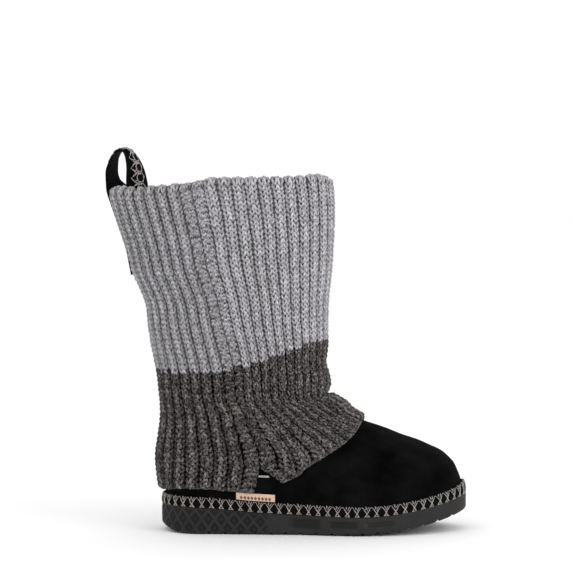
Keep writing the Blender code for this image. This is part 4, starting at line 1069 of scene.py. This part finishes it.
webbing = mottled_material("black_webbing", (0.002, 0.002, 0.002), (0.007, 0.0067, 0.0067), 1600.0, 2.5, 0.0004,
                           {"Roughness": 0.8, "Specular IOR Level": 0.04})
even, across, rows, ways = strap_lines(WEBBING_WIDTH, 11)
add_strap("loop_webbing", rows, ways, 0.0, WEBBING_THICKNESS, 0.5, webbing, "pull_loop")
_, _, tape_rows, tape_ways = strap_lines(LOOP_TAPE_WIDTH, 7)
# The tape is drawn down to the webbing, so that no light shows between the two.
tape_low, tape_high = WEBBING_THICKNESS + 0.0002, WEBBING_THICKNESS + TAPE_GAP + LOOP_TAPE_THICKNESS * 0.6
add_strap("loop_pattern_tape", tape_rows, tape_ways, tape_low, tape_high, 0.3, webbing, "loop_tape")

# The tape's pattern: a chain of grey thread, a ring to each link, with an open hook beside it.
LINK_PITCH, LINK_THREAD = 0.0090, 0.00050
on_strap = surface_map(even, across, rows, ways)
pattern_height = tape_high + LINK_THREAD * 0.3
link_batches = []
LINK_SHAPES = {
    "ring": [(0.0040 * math.cos(a), 0.0036 + 0.0050 * math.sin(a)) for a in np.linspace(0, 2 * math.pi, 19)],
    "ring_edge": [(0.0032 * math.cos(a), 0.0040 + 0.0041 * math.sin(a)) for a in np.linspace(0.2, 2.9, 11)],
    "hook": [(-0.0036, -0.0008), (-0.0038, -0.0032), (-0.0024, -0.0056), (-0.0002, -0.0068), (0.0018, -0.0058),
             (0.0026, -0.0036), (0.0020, -0.0016)],
    "tie": [(0.0030, -0.0048), (0.0038, -0.0028), (0.0044, -0.0004), (0.0052, 0.0018), (0.0062, 0.0036)],
    "cross": [(0.0060, -0.0044), (0.0050, -0.0022), (0.0040, 0.0002), (0.0032, 0.0020)],
}
for k in range(int(even[-1] / LINK_PITCH) + 1):
    for shape in LINK_SHAPES.values():
        place, aside = (k + 0.5) * LINK_PITCH + np.array(shape)[:, 0], np.array(shape)[:, 1]
        if place.max() < even[-1] and place.min() > 0:
            # Past the tape's edges the thread goes down onto the webbing.
            on_tape = np.clip((LOOP_TAPE_WIDTH / 2 + 0.0003 - np.abs(aside)) / 0.0006, 0, 1)
            base = mix(WEBBING_THICKNESS + LINK_THREAD * 0.3, pattern_height, on_tape)
            over = base + LINK_THREAD * 0.5 * np.cos(np.arange(len(place)) * 1.3)
            link_batches.append((on_strap(place, aside, over)[None], LINK_THREAD, 0.5))
spin_threads("loop_pattern", link_batches, 6, cross_yarn)


# The side tag: a slip of pale smooth leather stuck to the suede over the braid. It carries only a row
# of small pressed diamonds.
TAG_START, TAG_LENGTH, TAG_HEIGHT, TAG_THICKNESS = 0.0307, 0.0346, 0.0066, 0.0010
tag_leather, shader = new_material("tag_leather", {"Roughness": 0.55})
grain_colour, grain_mask = add_mottle(shader, (0.56, 0.37, 0.27), (0.76, 0.53, 0.40), 500.0, 1.8)
ink = shader.id_data.nodes.new("ShaderNodeMix")
ink.data_type = "RGBA"
ink.inputs["B"].default_value = (0.13, 0.055, 0.030, 1)
feed(ink, read_attribute(shader, "pressed"), "Factor")
feed(ink, grain_colour, "A")
feed(shader, ink.outputs["Result"])
add_bump(shader, grain_mask, 0.0001)
TAG_ACROSS, TAG_UP, TAG_ROUND = 160, 34, 0.0006
MARKS, MARK_REACH, MARK_UP, MARK_DEPTH = 11, 0.00145, 0.36, 0.00018
tag_share, tag_up = np.linspace(0, 1, TAG_ACROSS), np.linspace(0, 1, TAG_UP)
guide_across, guide_up = np.linspace(0, 1, 9), (0.0, 0.5, 1.0)
guide = np.zeros((9, 3, 2))
for i, share in enumerate(guide_across):
    x = TAG_START + share * TAG_LENGTH
    low = float(sole_top(x)) + CLEARANCE * 3 + BRAID_HEIGHT
    for j, up in enumerate(guide_up):
        level = level_at(low + up * TAG_HEIGHT, math.pi / 2)
        for _ in range(2):
            back_x, front_x = (float(curve_through(range(len(RINGS)), RINGS[:, k], level)) for k in (0, 2))
            turn = math.acos(2 * (x - back_x) / (front_x - back_x) - 1)
            level = level_at(low + up * TAG_HEIGHT, turn)
        guide[i, j] = level, turn
for axis, (known, wanted) in enumerate(((guide_across, tag_share), (guide_up, tag_up))):
    guide = np.apply_along_axis(lambda line: np.interp(wanted, known, line), axis, guide)
tag_level, tag_turn = guide[..., 0], guide[..., 1]
mark_run = (tag_share * MARKS) % 1 - 0.5
mark = np.abs(mark_run)[:, None] * TAG_LENGTH / MARKS + np.abs(tag_up - MARK_UP)[None, :] * TAG_HEIGHT * 0.8
in_row = ((tag_share > 1 / MARKS) & (tag_share < 1 - 1 / MARKS))[:, None]
mark = in_row * soft_step(MARK_REACH - mark, 0.0004)
edge_gap = np.minimum(np.minimum(tag_share, 1 - tag_share)[:, None] * TAG_LENGTH,
                      np.minimum(tag_up, 1 - tag_up)[None, :] * TAG_HEIGHT)
tag_crown = np.sqrt(np.clip(1 - (1 - np.clip(edge_gap / TAG_ROUND, 0, 1)) ** 2, 0, 1))
tag_base = CLEARANCE * 1.5
tag_over = skin(tag_level, tag_turn, tag_base + TAG_THICKNESS * (0.55 + 0.45 * tag_crown) - MARK_DEPTH * mark)
tag_under = skin(tag_level, tag_turn, np.full(tag_level.shape, tag_base))
tag_faces, _ = shell_faces(TAG_ACROSS, TAG_UP)
tag_points = np.concatenate([tag_over.reshape(-1, 3), tag_under.reshape(-1, 3)])
tag = add_piece("leather_tag", tag_points, tag_faces, [tag_leather], "side_tag")
store_values(tag.data, "pressed", np.concatenate([mark.ravel(), np.zeros(mark.size)]))
